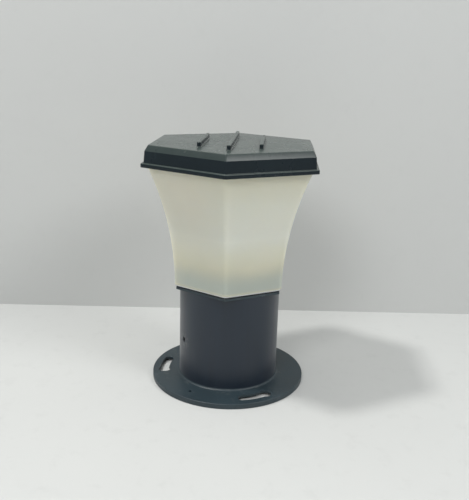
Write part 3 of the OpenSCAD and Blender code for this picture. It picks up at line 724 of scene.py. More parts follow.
def opal_plastic(name, base, foot_z, top_z, painted_glow_at):
    """Milky moulded plastic: cooler and darker low down, where the dark head shows through."""
    f = Finish(name, 0.38, Subsurface_Weight=1.0, Subsurface_Scale=0.012, Specular_IOR_Level=0.35)
    f.shader.inputs["Subsurface Radius"].default_value = (1.0, 0.94, 0.84)
    z, x, y = f.axis(2), f.axis(0), f.axis(1)
    up = f.between(z, foot_z, top_z)
    # Painted shade: the ramp darkens the foot, where the dark head would show through, and the top, in the
    # lid's shadow.
    body = f.ramp(up, (0.0, shade(base, 0.60)), (0.16, shade(base, 0.74)), (0.42, base),
                  (0.8, shade(base, 0.94)), (1.0, shade(base, 0.88, 0.83, 0.80)))
    # Painted shade: a dark zone low down, standing for the dark head seen through the wall.
    across = f.math("SQRT", f.math("ADD", f.math("MULTIPLY", x, x), f.math("MULTIPLY", y, y)))
    reach = f.math("ADD", z, f.math("MULTIPLY", across, -0.25))
    seen = f.math("MULTIPLY", f.between(reach, foot_z + 16*MM, foot_z - 4*MM),
                  f.between(z, foot_z + 1.5*MM, foot_z + 5*MM))
    body = f.mix(f.math("MULTIPLY", seen, 0.85), body, shade(base, 0.44, 0.51, 0.62))
    # A painted glow: a warmer tint round a point on the upper left front.
    painted_glow = f.near(painted_glow_at, 62*MM, 8*MM)
    body = f.mix(f.math("MULTIPLY", painted_glow, 0.7), body, shade(base, 0.99, 0.84, 0.84))
    # Painted light: a cooler, lighter strip along the foot edge.
    foot = f.between(z, foot_z + 2.6*MM, foot_z + 1.2*MM)
    body = f.mix(foot, body, shade(base, 0.86, 0.92, 1.15))
    warm = f.ramp(f.noise(13.0, 2.0, 0.5), (0.45, 0.0), (0.75, 0.35))
    body = f.mix(warm, body, shade(base, 1.04, 0.93, 0.90))
    f.colour(body)
    flow = f.noise(60.0, 3.0, 0.5, f.stretched(1.0, 1.0, 0.15))
    f.rough(flow, 0.32, 0.46)
    f.bump(flow, 0.05*MM).bump(f.noise(1500.0, 2.0, 0.5), 0.01*MM)
    return f.mat


def bright_metal(name, base, roughness, streak=(1.0, 1.0, 1.0)):
    """Metal with fine drawn lines, slight tarnish and uneven shine."""
    f = Finish(name, roughness, metallic=1.0)
    lines = f.noise(900.0, 4.0, 0.6, f.stretched(*streak))
    stain = f.noise(150.0, 4.0, 0.6)
    tone = f.ramp(lines, (0.3, shade(base, 0.85)), (0.7, base))
    f.colour(f.mix(f.ramp(stain, (0.4, 0.0), (0.75, 0.5)), tone, shade(base, 0.6)))
    f.rough(lines, roughness - 0.08, roughness + 0.12)
    f.bump(lines, 0.012*MM)
    return f.mat


def moulded(name, base, roughness, grain=1400.0, depth=0.02, soften=0.0):
    """Moulded plastic, rubber or fired clay: drifting tone, fine grain, small specks."""
    f = Finish(name, roughness, Subsurface_Weight=soften, Subsurface_Scale=0.002)
    drift = f.noise(90.0, 3.0, 0.5)
    speck = f.ramp(f.spots(700.0), (0.02, 0.35), (0.07, 0.0))
    f.colour(f.mix(speck, f.ramp(drift, (0.3, shade(base, 0.9)), (0.7, base)), shade(base, 0.6)))
    f.rough(drift, roughness - 0.05, roughness + 0.07)
    f.bump(f.noise(grain, 3.0, 0.6), depth*MM)
    return f.mat


def stage_finish(name, base, smudge, roughness=0.75, one_sided=False):
    """A pale, faintly clouded surface. A one-sided one is clear from behind, so the back can be seen too."""
    f = Finish(name, roughness, Specular_IOR_Level=0.25)
    cloud = f.noise(3.0, 3.0, 0.5)
    fine = f.noise(55.0, 5.0, 0.65)
    tone = f.ramp(cloud, (0.35, shade(base, 0.975)), (0.65, base))
    f.colour(f.mix(f.ramp(fine, (0.55, 0.0), (0.75, smudge)), tone, shade(base, 0.8)))
    f.bump(fine, 0.15*MM)
    if one_sided:
        side = f.nodes.new("ShaderNodeNewGeometry").outputs["Backfacing"]
        blend, clear = f.nodes.new("ShaderNodeMixShader"), f.nodes.new("ShaderNodeBsdfTransparent")
        f.links.new(side, blend.inputs[0])
        f.links.new(f.shader.outputs[0], blend.inputs[1])
        f.links.new(clear.outputs[0], blend.inputs[2])
        out = next(n for n in f.nodes if n.type == "OUTPUT_MATERIAL")
        f.links.new(blend.outputs[0], out.inputs["Surface"])
    return f.mat


FINISHES = {}


def finishes():
    """Every finish by name, made once. The names are the record's slots where there is one."""
    if FINISHES:
        return FINISHES
    coat, opal = tuple(colours().coat), tuple(colours().opal)
    screw = base_sizes().screw_turn
    face = high("pole_tube").x
    at = (face*math.cos(screw), face*math.sin(screw), high("pole_grub_screws").z - 3*MM)
    shade_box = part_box("diffuser")
    FINISHES.update({
        "housing": dark_coat("housing_coat", shade(coat, 1.4), 0.42, 0.55),
        "pole": pole_coat("pole_coat", coat, at),
        "lid_housing": lid_coat("lid_coat", coat),
        "blackened": bright_metal("blackened_steel", (0.05, 0.05, 0.055), 0.45),
        # The last point given here is where the opal's painted glow sits.
        "opal": opal_plastic("opal_plastic", opal, shade_box[0].z, shade_box[1].z,
                             (-42*MM, -48*MM, shade_box[1].z - 34*MM)),
        "rubber": moulded("black_rubber", (0.022, 0.022, 0.024), 0.7, 900.0, 0.05),
        "steel": bright_metal("zinc_plated_steel", (0.60, 0.61, 0.62), 0.34),
        "spring": bright_metal("spring_steel", (0.52, 0.53, 0.55), 0.28, (1.0, 1.0, 0.05)),
        "holder_porcelain": moulded("glazed_porcelain", (0.80, 0.78, 0.72), 0.16, 300.0, 0.04, 0.2),
        "brass": bright_metal("turned_brass", (0.75, 0.56, 0.25), 0.30, (0.08, 0.08, 1.0)),
        "terminal_plastic": moulded("terminal_plastic", (0.74, 0.73, 0.68), 0.45, 1400.0, 0.02, 0.2),
        "live_sleeve": moulded("brown_sleeve", (0.12, 0.045, 0.02), 0.42),
        "neutral_sleeve": moulded("blue_sleeve", (0.02, 0.07, 0.34), 0.42),
        "earth_sleeve": moulded("green_sleeve", (0.06, 0.26, 0.03), 0.42),
        "lamp_metal": bright_metal("nickel_plated_cap", (0.66, 0.64, 0.59), 0.25, (0.1, 0.1, 1.0)),
        "lamp_insulation": moulded("black_insulation", (0.02, 0.02, 0.022), 0.35),
        "lamp_plastic": moulded("white_lamp_plastic", (0.80, 0.80, 0.77), 0.25, 1200.0, 0.01, 0.2),
        "lamp_opal": moulded("frosted_globe", (0.86, 0.86, 0.83), 0.5, 1800.0, 0.015, 0.5),
    })
    return FINISHES


# Turned, pressed and cut pieces

def tube_cutter(r, start, end, angle, z):
    """A round cutter that lies along a radius at a given turn and height."""
    lie = Matrix.Translation((0, 0, z)) @ Matrix.Rotation(QUARTER, 4, "Y")
    return solid("cutter", rod(r, start, end), Matrix.Rotation(angle, 4, "Z") @ lie)


def rod(r, start, end, steps=SMALL_STEPS):
    """A plain closed cylinder about Z."""
    return turned([(0, start), (r, start), (r, end), (0, end)], steps)


def slot_cutter(sizes, top):
    """One arc slot with a wide end, cut from below to above the flange, about the +X axis."""
    ring, half, wide = sizes.slot_ring, sizes.slot_width/2, sizes.slot_end/2
    first = -sizes.slot_lead
    last = first + sizes.slot_sweep
    meet = math.sqrt(wide*wide - half*half)
    outer_meet, inner_meet = meet/(ring + half), meet/(ring - half)    # as turns about the axis
    neck = math.asin(half/wide)
    steps, margin = SLOT_STEPS, 2*MM

    def at(r, t):
        return Vector((r*math.cos(t), r*math.sin(t)))

    narrow_end = [at(ring, first) + at(1.0, first + math.pi + math.pi*k/steps)*half
                  for k in range(steps + 1)]
    outside = [at(ring + half, first + (last - outer_meet - first)*k/steps) for k in range(1, steps + 1)]
    wide_end = [at(ring, last) + at(1.0, last - (QUARTER - neck) + (math.tau - 2*neck)*k/steps)*wide
                for k in range(1, steps + 1)]
    inside = [at(ring - half, last - inner_meet + (first - last + inner_meet)*k/steps)
              for k in range(1, steps)]
    outline = narrow_end + outside + wide_end + inside
    rings = [[(p.x, p.y, z) for p in outline] for z in (-margin, top + margin)]
    return solid("cutter", loft(bmesh.new(), rings, cap_first=True, cap_last=True))


def machine_screw(d, reach, head_r, head_h, upwards):
    """A pan-head screw with a cross recess and threads, its head's underside at z = 0."""
    pitch = d*THREAD_PITCH
    crest, root = d/2, d/2 - pitch*THREAD_DEPTH
    rim = 0.35             # height of the dome's rim, as a share of the head's
    dome = [(head_r*math.cos(a), head_h*(rim + (1 - rim)*math.sin(a)))
            for a in (QUARTER*k/DOME_STEPS for k in range(DOME_STEPS + 1))]
    dome[-1] = (0.0, head_h)
    profile = list(reversed(dome)) + [(head_r, 0.0), (crest, 0.0)]
    z = -pitch
    while z > -reach + 2*pitch:
        profile += [(crest, z), (root, z - pitch/2)]
        z -= pitch
    profile += [(root, -reach + pitch), (root*0.7, -reach), (0.0, -reach)]
    screw = solid("screw", turned(profile, SCREW_STEPS))
    across, wide, deep, narrowing = head_r*1.25, head_r*0.32, head_h*1.1, 0.55
    cross = bmesh.new()
    for turn in (0.0, QUARTER):
        arm = bmesh.ops.create_cube(cross, size=1.0)["verts"]
        bmesh.ops.scale(cross, vec=(across, wide, deep), verts=arm)
        for v in arm:
            if v.co.z < 0:
                v.co.x *= narrowing
        bmesh.ops.translate(cross, vec=(0, 0, head_h), verts=arm)
        bmesh.ops.rotate(cross, cent=(0, 0, 0), matrix=Matrix.Rotation(turn, 3, "Z"), verts=arm)
    combine(screw, placed("cutter", mesh_of("cutter", cross)), "DIFFERENCE", crossed=True)
    if upwards:
        screw.data.transform(Matrix.Rotation(math.pi, 4, "X"))
        screw.data.update()
    return screw


def screw_ring(node):
    """Screws set out in a ring where the CAD node has them."""
    lo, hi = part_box(node)
    s = SCREWS[node]
    head_r, head_h, start = s["head"]*MM, s["tall"]*MM, math.radians(s["turn"])
    across = -lo.y if start else hi.x
    screw = machine_screw(s["thread"]*MM, hi.z - lo.z - head_h, head_r, head_h, s["upwards"])
    seat = lo.z + head_h if s["upwards"] else hi.z - head_h
    screw.name = node.replace("_screws", "") + "_screw_set"
    grow(screw, tree_of(ring_tree), {"Count": s["count"], "Radius": across - head_r, "Start": start,
                                     "Height": seat, "Material": finishes()[s["slot"]]})
    return present(screw, s["body"], s["slot"], node)


def flange_casting():
    """The flange: plate, rim, foot fillet, earth boss, fixing slots and locating hole."""
    s = base_sizes()
    lo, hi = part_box("base_flange")
    bottom, outer = lo.z, hi.x
    top = low("pole_tube").z
    plate = top - s.plate
    pole = high("pole_tube").x + s.running_fit
    foot = pole + s.foot_fillet
    inner = high("base_sleeve").x - s.sleeve_wall
    hole = high("cable_grommet").x - s.grommet_lip
    curve = [(foot + s.foot_fillet*math.cos(t), top + s.foot_fillet*(1 + math.sin(t)))
             for t in (math.radians(-90 - 90*k/FILLET_STEPS) for k in range(FILLET_STEPS + 1))]
    profile = rounded([(inner, bottom), (foot, bottom), (foot, plate), (outer - s.rim, plate),
                       (outer - s.rim, bottom), (outer, bottom, 0.3*MM), (outer, top, s.rim_round),
                       (foot + 1*MM, top)])
    profile += curve + [(pole, top), (hole, top), (hole, plate), (inner, plate)]
    flange = solid("flange_casting", turned(profile, TURN_STEPS, closed=True))
    boss_z = low("earth_tag").z
    earth = (low("earth_screw") + high("earth_screw"))/2
    boss = rod(5*MM, plate + 1*MM, boss_z)
    combine(flange, solid("boss", boss, Matrix.Translation((0, earth.y, 0))), "UNION")
    cutter = slot_cutter(s, top)
    grow(cutter, tree_of(ring_tree), {"Count": s.slot_count, "Radius": 0.0, "Start": math.pi, "Height": 0.0,
                                      "Material": finishes()["housing"]})
    combine(flange, cutter, "DIFFERENCE")
    mount = next(m for m in frame["record"]["mounts"] if m["name"] == "locating_hole")
    pin = rod(mount["dims"]["r_mm"]*MM, bottom - 1*MM, top + 1*MM)
    x, y, _ = mount["pos_m"]
    combine(flange, solid("pin", pin, Matrix.Translation((x, y, 0))), "DIFFERENCE")
    soften(flange, 0.25*MM)
    return present(wear(flange, finishes()["housing"]), "housing", "housing", "base_flange")


def pole_shaft():
    """The tube, with a hole for each set screw."""
    s = base_sizes()
    lo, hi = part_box("pole_tube")
    outer, inner, e = hi.x, hi.x - s.pole_wall, s.pole_edge
    mid = (lo.z + hi.z)/2
    shaft = solid("pole_shaft", turned(rounded([
        (inner, mid), (inner, lo.z, e), (outer, lo.z, e), (outer, hi.z, e), (inner, hi.z, e),
        (inner, mid + 1*MM)]), TURN_STEPS, closed=True))
    a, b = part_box("pole_grub_screws")
    hole, past = (b.z - a.z)/2 + 0.3*MM, 3*MM
    for turn in (s.screw_turn, s.screw_turn + math.pi):
        combine(shaft, tube_cutter(hole, inner - past, outer + past, turn, (a.z + b.z)/2), "DIFFERENCE")
    soften(shaft, 0.3*MM)
    return present(wear(shaft, finishes()["pole"]), "housing", "housing", "pole_tube")


def set_screws():
    """Two socket set screws, opposite each other in the foot of the pole."""
    s = base_sizes()
    lo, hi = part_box("pole_grub_screws")
    r = (hi.z - lo.z)/2
    reach, lead_in, sunk = 6*MM, 0.4*MM, 0.4*MM
    pitch = r*0.32
    profile = [(0, 0), (r*0.8, 0), (r, -lead_in)]
    z = -lead_in - pitch/2
    while z > -reach + pitch:
        profile += [(r*0.86, z), (r, z - pitch/2)]
        z -= pitch
    profile += [(r*0.6, -reach), (0, -reach)]
    screw = solid("pole_set_screws", turned(profile, SCREW_STEPS))
    combine(screw, solid("key", rod(r*0.56, -2*MM, 1*MM, steps=6)), "DIFFERENCE")
    screw.data.transform(Matrix.Rotation(QUARTER, 4, "Y"))
    screw.data.update()
    grow(screw, tree_of(ring_tree), {"Count": 2, "Radius": high("pole_tube").x - sunk, "Start": s.screw_turn,
                                     "Height": (lo.z + hi.z)/2, "Material": finishes()["blackened"]})
    return present(screw, "housing", "steel", "pole_grub_screws")


def cable_grommet():
    """The rubber ring in the middle of the flange."""
    lo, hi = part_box("cable_grommet")
    lip = base_sizes().grommet_lip
    bore = next(m for m in frame["record"]["mounts"] if m["name"] == "cable_entry")["dims"]["r_mm"]*MM
    neck, thick, mid = hi.x - lip - 0.05*MM, 2*MM, (lo.z + hi.z)/2
    mouth, rim, groove = 0.6*MM, 0.8*MM, 0.5*MM    # how far its edges are rounded
    ring = turned(rounded([
        (bore, mid), (bore, lo.z, mouth), (hi.x, lo.z, rim), (hi.x, lo.z + thick, groove),
        (neck, lo.z + thick), (neck, hi.z - thick), (hi.x, hi.z - thick, groove), (hi.x, hi.z, rim),
        (bore, hi.z, mouth), (bore, mid + 0.2*MM)]), RING_STEPS, closed=True)
    return present(wear(solid("entry_grommet", ring), finishes()["rubber"]), "housing", "rubber",
                   "cable_grommet")


def diffuser():
    """A flared hexagonal shell with a floor, which the screws hold to the head."""
    s = head_sizes()
    lo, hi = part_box("diffuser")
    height = low("lid").z - lo.z
    foot = hi.x - (s.flare - math.sqrt(s.flare**2 - height**2))
    corner, edge = s.shade_corner, s.foot_edge
    floor_hole = FLOOR_HOLE*foot/(foot - edge)
    outline = hex_ring(foot, corner, 0.0)
    rings = []
    for share in (0.0, 0.35, 0.7):         # rings across the floor, from its hole to the foot
        row = []
        for x, y, _ in outline:
            p = Vector((x, y))
            p = (p.normalized()*floor_hole).lerp(p, share)
            row.append((p.x, p.y, 0.0))
        rings.append(row)
    levels = [edge*(1 - math.cos(math.radians(t))) for t in range(0, 91, 15)]
    levels += [edge + (height - edge)*k/FLARE_STEPS for k in range(1, FLARE_STEPS + 1)]
    levels += [height + (hi.z - lo.z - height)*k/3 for k in (1, 2, 3)]
    rings += [hex_ring(foot, corner, z) for z in levels]
    skin = placed("opal_shade", mesh_of("opal_shade", loft(bmesh.new(), rings)))
    opal = finishes()["opal"]
    grow(skin, tree_of(flare_tree), {"Foot": foot, "Arc": s.flare, "Edge": edge, "Height": height,
                                     "Material": opal})
    wall = skin.modifiers.new("wall", "SOLIDIFY")
    wall.thickness, wall.offset = s.wall, -1.0
    wall.use_even_offset = wall.use_quality_normals = True
    settle(skin)
    skin.data.transform(Matrix.Translation((0, 0, lo.z)))
    skin.data.update()
    soften(skin, 0.3*MM)
    return present(wear(skin, opal), "housing", "opal", "diffuser")


def screws(*nodes):
    """A job that makes the screws of some nodes."""
    def job():
        for node in nodes:
            screw_ring(node)

    return job


def stadium(half_width, half_length, z):
    """A ring with straight sides along Y and round ends."""
    pts = []
    for side, end in ((0, half_length), (1, -half_length)):
        for k in range(RIB_END_STEPS + 1):
            t = math.pi*(side + k/RIB_END_STEPS)
            pts.append((half_width*math.cos(t), end + half_width*math.sin(t), z))
    return pts


def lid_shell():
    """The hexagonal lid: one shell, its ribs and the posts for the spring clips."""
    s = head_sizes()
    lo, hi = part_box("lid")
    base = lo.z
    lip_a = hi.x
    skirt = lip_a - s.lip_out
    shoulder = skirt - s.skirt_draft
    crown = shoulder - s.chamfer_width
    top = base + s.skirt_height + s.chamfer_height
    roof, ceiling = crown - 1.3*MM, top - s.lid_top
    land = 6*MM            # how far the top and the ceiling come in before their flat middles
    room, ledge = high("diffuser").x + LID_GAP, high("lid_gasket").z
    at_lip = skirt - s.skirt_draft*s.lip_height/s.skirt_height
    e, c = s.lid_edge, s.lid_corner
    section = rounded([
        (roof - land, ceiling), (roof, ceiling, 0.6*MM), (roof, ledge, 0.3*MM), (room, ledge, 0.2*MM),
        (room, base, 0.4*MM), (lip_a, base, 0.7*e), (lip_a, base + s.lip_height, e),
        (at_lip, base + s.lip_height, 0.6*e), (shoulder, base + s.skirt_height, e),
        (crown, top, e), (crown - land, top)])
    lid = solid("hexagonal_lid", loft(bmesh.new(), [hex_ring(a, c, z) for a, z in section],
                                      cap_first=True, cap_last=True))
    half, tall = s.rib_width/2, hi.z - top
    flare, sunk = half + 0.5*MM, -0.5*MM           # the rib's foot, and how deep it sits in the top
    rib = rounded([(flare, sunk), (flare, 0.1*MM), (half, 0.7*MM, 0.3*MM),
                   (half, tall, 0.9*MM), (half*0.3, tall)])
    reach = s.rib_long/2 - half
    ribs = solid("ribs", loft(bmesh.new(), [stadium(r, reach, z) for r, z in rib],
                              cap_first=True, cap_last=True))
    grow(ribs, tree_of(rib_tree), {"Pitch": s.rib_pitch, "Shorter": s.rib_long - s.rib_short,
                                   "Middle shift": s.rib_shift, "Outer shift": s.rib_outer_shift,
                                   "Height": top, "Material": finishes()["lid_housing"]})
    combine(lid, ribs, "UNION")
    clip = high("lid_clips").z
    post = solid("posts", rod(s.post, clip, ceiling + 1*MM))
    post_ring = high("lid_clip_screws").x - SCREWS["lid_clip_screws"]["head"]*MM
    grow(post, tree_of(ring_tree), {"Count": 3, "Radius": post_ring, "Start": 0.0, "Height": 0.0,
                                    "Material": finishes()["lid_housing"]})
    combine(lid, post, "UNION")
    return present(wear(note_up(lid), finishes()["lid_housing"]), "lid_body", "lid_housing", "lid")


def spring_clips():
    """Bent strips that snap over the mouth of the diffuser."""
    lo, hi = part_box("lid_clips")
    thick, wide, tongue = 0.8*MM, 12*MM, 12*MM     # the strip, and its tongue under the post
    nose, half_nose, bend, flick = 2.1*MM, 3.2*MM, 2*MM, 0.4*MM
    bump = hi.x - thick/2
    arm = bump - nose
    foot, z = arm + thick/2 - tongue, hi.z - thick/2
    snap = low("lid").z + 3*MM
    line = rounded([(foot, z), (arm, z, 1.2*MM), (arm, snap + half_nose, bend), (bump, snap, 0.9*MM),
                    (arm, snap - half_nose, bend), (arm - flick, lo.z)], 5)
    left, right = [], []
    for i, p in enumerate(line):
        before, after = line[max(i - 1, 0)], line[min(i + 1, len(line) - 1)]
        run = (Vector(after) - Vector(before)).normalized()
        side = Vector((-run.y, run.x))*thick/2
        left.append(Vector(p) + side)
        right.append(Vector(p) - side)
    outline = left + list(reversed(right))
    rings = [[(p.x, y, p.y) for p in outline] for y in (-wide/2, wide/2)]
    clip = solid("lid_spring_clips", loft(bmesh.new(), rings, cap_first=True, cap_last=True))
    soften(clip, 0.15*MM, 1)
    grow(clip, tree_of(ring_tree), {"Count": 3, "Radius": 0.0, "Start": 0.0, "Height": 0.0,
                                    "Material": finishes()["spring"]})
    return present(clip, "lid_body", "steel", "lid_clips")


def seat_washers():
    """Rubber washers under the heads of the diffuser's screws."""
    lo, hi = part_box("diffuser_washers")
    outer, inner, mid = 4.4*MM, 2.3*MM, (lo.z + hi.z)/2
    e = 0.2*MM
    ring = turned(rounded([(inner, mid), (inner, lo.z, e), (outer, lo.z, e), (outer, hi.z, e),
                           (inner, hi.z, e), (inner, mid + 0.1*MM)], 2), SMALL_STEPS, closed=True)
    washer = solid("seat_washers", ring)
    grow(washer, tree_of(ring_tree), {"Count": 3, "Radius": -lo.y - outer, "Start": math.radians(30),
                                      "Height": 0.0, "Material": finishes()["rubber"]})
    return present(washer, "housing", "rubber", "diffuser_washers")


def lamp_holder():
    """The porcelain body, with a well for the lamp's cap."""
    lo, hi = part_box("holder_body")
    well, r = low("holder_shell").z, hi.x
    bore = high("holder_shell").x + 0.05*MM
    slim, step = r - 1.5*MM, well - 1*MM
    body = turned(rounded([
        (0, lo.z), (slim, lo.z, 1.2*MM), (slim, step, 0.6*MM), (r, step, 0.8*MM),
        (r, hi.z, 1.3*MM), (bore, hi.z, 0.8*MM), (bore, well), (0, well)]), RING_STEPS)
    return present(wear(solid("porcelain_holder", body), finishes()["holder_porcelain"]),
                   "housing", "holder_porcelain", "holder_body")


def small_turned(name, body, slot, node, profile, steps=64):
    """A small round piece in the finish of its slot."""
    piece = solid(name, turned(rounded(profile), steps))
    return present(wear(piece, finishes()[slot]), body, slot, node)


def screw_cap():
    """The lamp's cap, with a rolled thread that fades out at both ends."""
    lo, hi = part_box("lamp_cap")
    r, pitch, depth, steps = hi.x, 3.6*MM, 0.8*MM, CAP_STEPS
    first, last = lo.z + 2.8*MM, hi.z - 1.2*MM
    fade_in, fade_out = 1.5*MM, 2*MM
    rings = [[(0, 0, lo.z)], circle_ring(8*MM, lo.z, steps), circle_ring(r - 0.7*MM, lo.z + 2.2*MM, steps)]
    for i in range(THREAD_RINGS + 1):
        z = first + (last - first)*i/THREAD_RINGS
        fade = min(1.0, (z - first)/fade_in, (last - z)/fade_out)
        row = []
        for k in range(steps):
            t = math.tau*k/steps
            here = r - depth*fade*(0.5 - 0.5*math.cos(math.tau*z/pitch - t))
            row.append((here*math.cos(t), here*math.sin(t), z))
        rings.append(row)
    rings += [circle_ring(r, hi.z, steps), [(0, 0, hi.z)]]
    cap = solid("lamp_screw_cap", loft(bmesh.new(), rings))
    return present(wear(cap, finishes()["lamp_metal"]), "lamp", "lamp_metal", "lamp_cap")


def lamp_collar():
    """The plastic body between the cap and the globe."""
    lo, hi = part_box("lamp_housing")
    neck, wide, seam = high("lamp_cap").x + 0.75*MM, hi.x, hi.z
    start_r, start_z, steps = neck + 1*MM, lo.z + 8*MM, 12
    flank = []
    for k in range(steps + 1):
        u = k/steps
        ease = u*u*(3 - 2*u)
        flank.append((start_r + (wide - neck - 1*MM)*(0.45*u + 0.55*ease), start_z + (seam - lo.z - 11*MM)*u))
    profile = [(0, lo.z), (neck, lo.z, 0.5*MM), (neck + 0.9*MM, lo.z + 7*MM)] + flank
    profile += [(wide, seam, 0.2*MM), (wide - 1.2*MM, seam), (0, seam)]
    small_turned("lamp_collar", "lamp", "lamp_plastic", "lamp_housing", profile, RING_STEPS)


def lamp_globe():
    """A hollow dome with a wall, joined round its rim."""
    lo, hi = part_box("lamp_globe")
    r = hi.x
    middle, inner = hi.z - r, r - GLOBE_WALL
    start, start_in = math.asin((lo.z - middle)/r), math.asin((lo.z - middle)/inner)
    steps = range(GLOBE_STEPS + 1)
    dome = [(r*math.cos(t), middle + r*math.sin(t))
            for t in (start + (QUARTER - start)*k/GLOBE_STEPS for k in steps)]
    hollow = [(inner*math.cos(t), middle + inner*math.sin(t))
              for t in (QUARTER + (start_in - QUARTER)*k/GLOBE_STEPS for k in steps)]
    dome[-1], hollow[0] = (0.0, middle + r), (0.0, middle + inner)
    rings = [[(0, 0, z)] if q == 0 else circle_ring(q, z, RING_STEPS) for q, z in dome + hollow]
    shell = bmesh.new()
    loft(shell, rings[:len(dome)])
    loft(shell, rings[len(dome):])
    rim = [v for v in shell.verts if abs(v.co.z - lo.z) < 1e-6]
    edges = [e for e in shell.edges if e.verts[0] in rim and e.verts[1] in rim]
    bmesh.ops.bridge_loops(shell, edges=edges)
    globe = solid("lamp_globe_frosted", shell)
    present(wear(globe, finishes()["lamp_opal"]), "lamp", "lamp_opal", "lamp_globe")


def holder_contact():
    """The contact in the middle of the holder."""
    lo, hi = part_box("holder_contact")
    small_turned("centre_contact", "housing", "brass", "holder_contact",
                 [(0, lo.z), (hi.x, lo.z, 0.3*MM), (hi.x, lo.z + 0.9*MM, 0.3*MM), (2.5*MM, hi.z, 0.8*MM),
                  (0, hi.z)])


def lamp_insulator():
    """The dark ring round the lamp's end contact."""
    lo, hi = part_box("lamp_insulator")
    small_turned("lamp_base_insulator", "lamp", "lamp_insulation", "lamp_insulator",
                 [(0, lo.z), (hi.x*0.72, lo.z, 0.6*MM), (hi.x, hi.z - 0.8*MM, 0.5*MM), (hi.x, hi.z),
                  (0, hi.z)])


def lamp_contact():
    """The lamp's end contact."""
    lo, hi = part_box("lamp_contact")
    small_turned("lamp_end_contact", "lamp", "brass", "lamp_contact",
                 [(0, lo.z), (hi.x*0.6, lo.z, 0.5*MM), (hi.x, lo.z + 0.7*MM, 0.4*MM), (hi.x, hi.z),
                  (0, hi.z)])


def terminal_screw_rows():
    """Slotted screws on top of the terminal block, in two rows of three."""
    lo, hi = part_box("terminal_screws")
    r, tall = 1.5*MM, hi.z - lo.z
    screw = solid("terminal_screw_set", turned([(0, 0), (r*0.85, 0), (r, 0.3*MM), (r, tall - 0.4*MM),
                                                (r*0.7, tall), (0, tall)], SCREW_STEPS))
    slot = bmesh.new()
    block = bmesh.ops.create_cube(slot, size=1.0)["verts"]
    bmesh.ops.scale(slot, vec=(4*r, 0.83*MM, 1.9*MM), verts=block)
    combine(screw, solid("slot", slot), "DIFFERENCE")
    grow(screw, tree_of(rows_tree), {"Across": 3, "Deep": 2, "Width": 2*(hi.x - r), "Depth": 2*(hi.y - r),
                                     "Height": lo.z, "Material": finishes()["brass"]})
    return present(screw, "housing", "brass", "terminal_screws")


def lead(node, slot, route):
    """A sleeved lead along a route of (y, z, bend radius) at the node's own x."""
    lo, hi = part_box(node)
    x, r = (lo.x + hi.x)/2, (hi.x - lo.x)/2
    path = rounded(route, LEAD_BEND_STEPS)
    mesh = bpy.data.meshes.new(node)
    mesh.from_pydata([(x, y, z) for y, z in path], [(k, k + 1) for k in range(len(path) - 1)], [])
    obj = placed(node.replace("_wire", "_lead"), mesh)
    grow(obj, tree_of(lead_tree), {"Radius": r, "Steps": LEAD_STEPS, "Material": finishes()[slot]})
    return present(obj, "housing", slot, node)


def leads():
    """Live and neutral run up to the holder, and earth runs down to the flange."""
    bend = 5*MM
    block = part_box("terminal_block")
    for node, slot in (("live_wire", "live_sleeve"), ("neutral_wire", "neutral_sleeve")):
        lo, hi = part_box(node)
        r = (hi.x - lo.x)/2
        run = block[1].y + bend
        lead(node, slot, [(lo.y, lo.z + r), (run, lo.z + r, bend), (run, hi.z)])
    lo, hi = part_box("earth_wire")
    r = (hi.x - lo.x)/2
    run = block[0].y - bend
    lead("earth_wire", "earth_sleeve", [(hi.y, hi.z - r), (run, hi.z - r, bend), (run, lo.z + r, bend),
                                        (lo.y, lo.z + r)])


def dress_nodes():
    """Finishes for the CAD nodes whose shape stays as it is."""
    for node, finish in DRESSED:
        wear(frame["nodes"][node], finishes()[finish])


# Stage

def plane(name, corners, finish):
    """A flat part of the stage."""
    mesh = bpy.data.meshes.new(name)
    mesh.from_pydata(corners, [], [(0, 1, 2, 3)])
    mesh.update()
    obj = placed(name, mesh)
    wear(obj, finish)
    return obj


def area_light(name, place, aim, size, power, rgb):
    data = bpy.data.lights.new(name, "AREA")
    data.shape, data.size, data.energy, data.color = "DISK", size, power, rgb
    obj = placed(name, data)
    obj.location = place
    obj.rotation_euler = (Vector(aim) - Vector(place)).to_track_quat("-Z", "Y").to_euler()
    return obj


def studio_camera():
    data = bpy.data.cameras.new("studio_camera")
    data.sensor_fit, data.sensor_height, data.lens = "VERTICAL", SENSOR_HEIGHT, LENS
    data.clip_start, data.clip_end = 0.01, 20.0
    cam = placed("studio_camera", data)
    turn = Matrix([Vector(axis) for axis in CAMERA_AXES]).transposed().to_4x4()
    cam.matrix_world = Matrix.Translation(CAMERA_PLACE) @ turn
    bpy.context.scene.camera = cam


def studio():
    """The table, the wall, the lights, the sky and the camera."""
    reach = STAGE_REACH
    lean = reach*math.tan(WALL_TURN)
    left, right = WALL_DEPTH - lean, WALL_DEPTH + lean
    plane("studio_table", [(-reach, -reach, 0), (reach, -reach, 0), (reach, right, 0), (-reach, left, 0)],
          stage_finish("table_finish", tuple(colours().table), 0.25))
    plane("studio_wall", [(-reach, left, 0), (reach, right, 0), (reach, right, WALL_HEIGHT),
                          (-reach, left, WALL_HEIGHT)],
          stage_finish("wall_finish", tuple(colours().wall), 0.1, one_sided=True))
    for light in LIGHTS:
        area_light(*light)
    scene = bpy.context.scene
    world = bpy.data.worlds.new("studio_world")
    world.use_nodes = True
    sky = world.node_tree.nodes["Background"].inputs
    sky["Color"].default_value, sky["Strength"].default_value = SKY_COLOUR, SKY_STRENGTH
    scene.world = world
    scene.view_settings.view_transform = "Standard"
    studio_camera()


# Operators

def maker(idname, label, text, job):
    """The operator that makes a piece or a group of like pieces. What its job raises, it raises."""
    def execute(self, context):
        job()
        return {"FINISHED"}

    return type("BOLLARD_OT_" + idname, (bpy.types.Operator,), {
        "__doc__": text, "bl_idname": "bollard." + idname, "bl_label": label,
        "bl_options": {"REGISTER", "UNDO"}, "execute": execute})


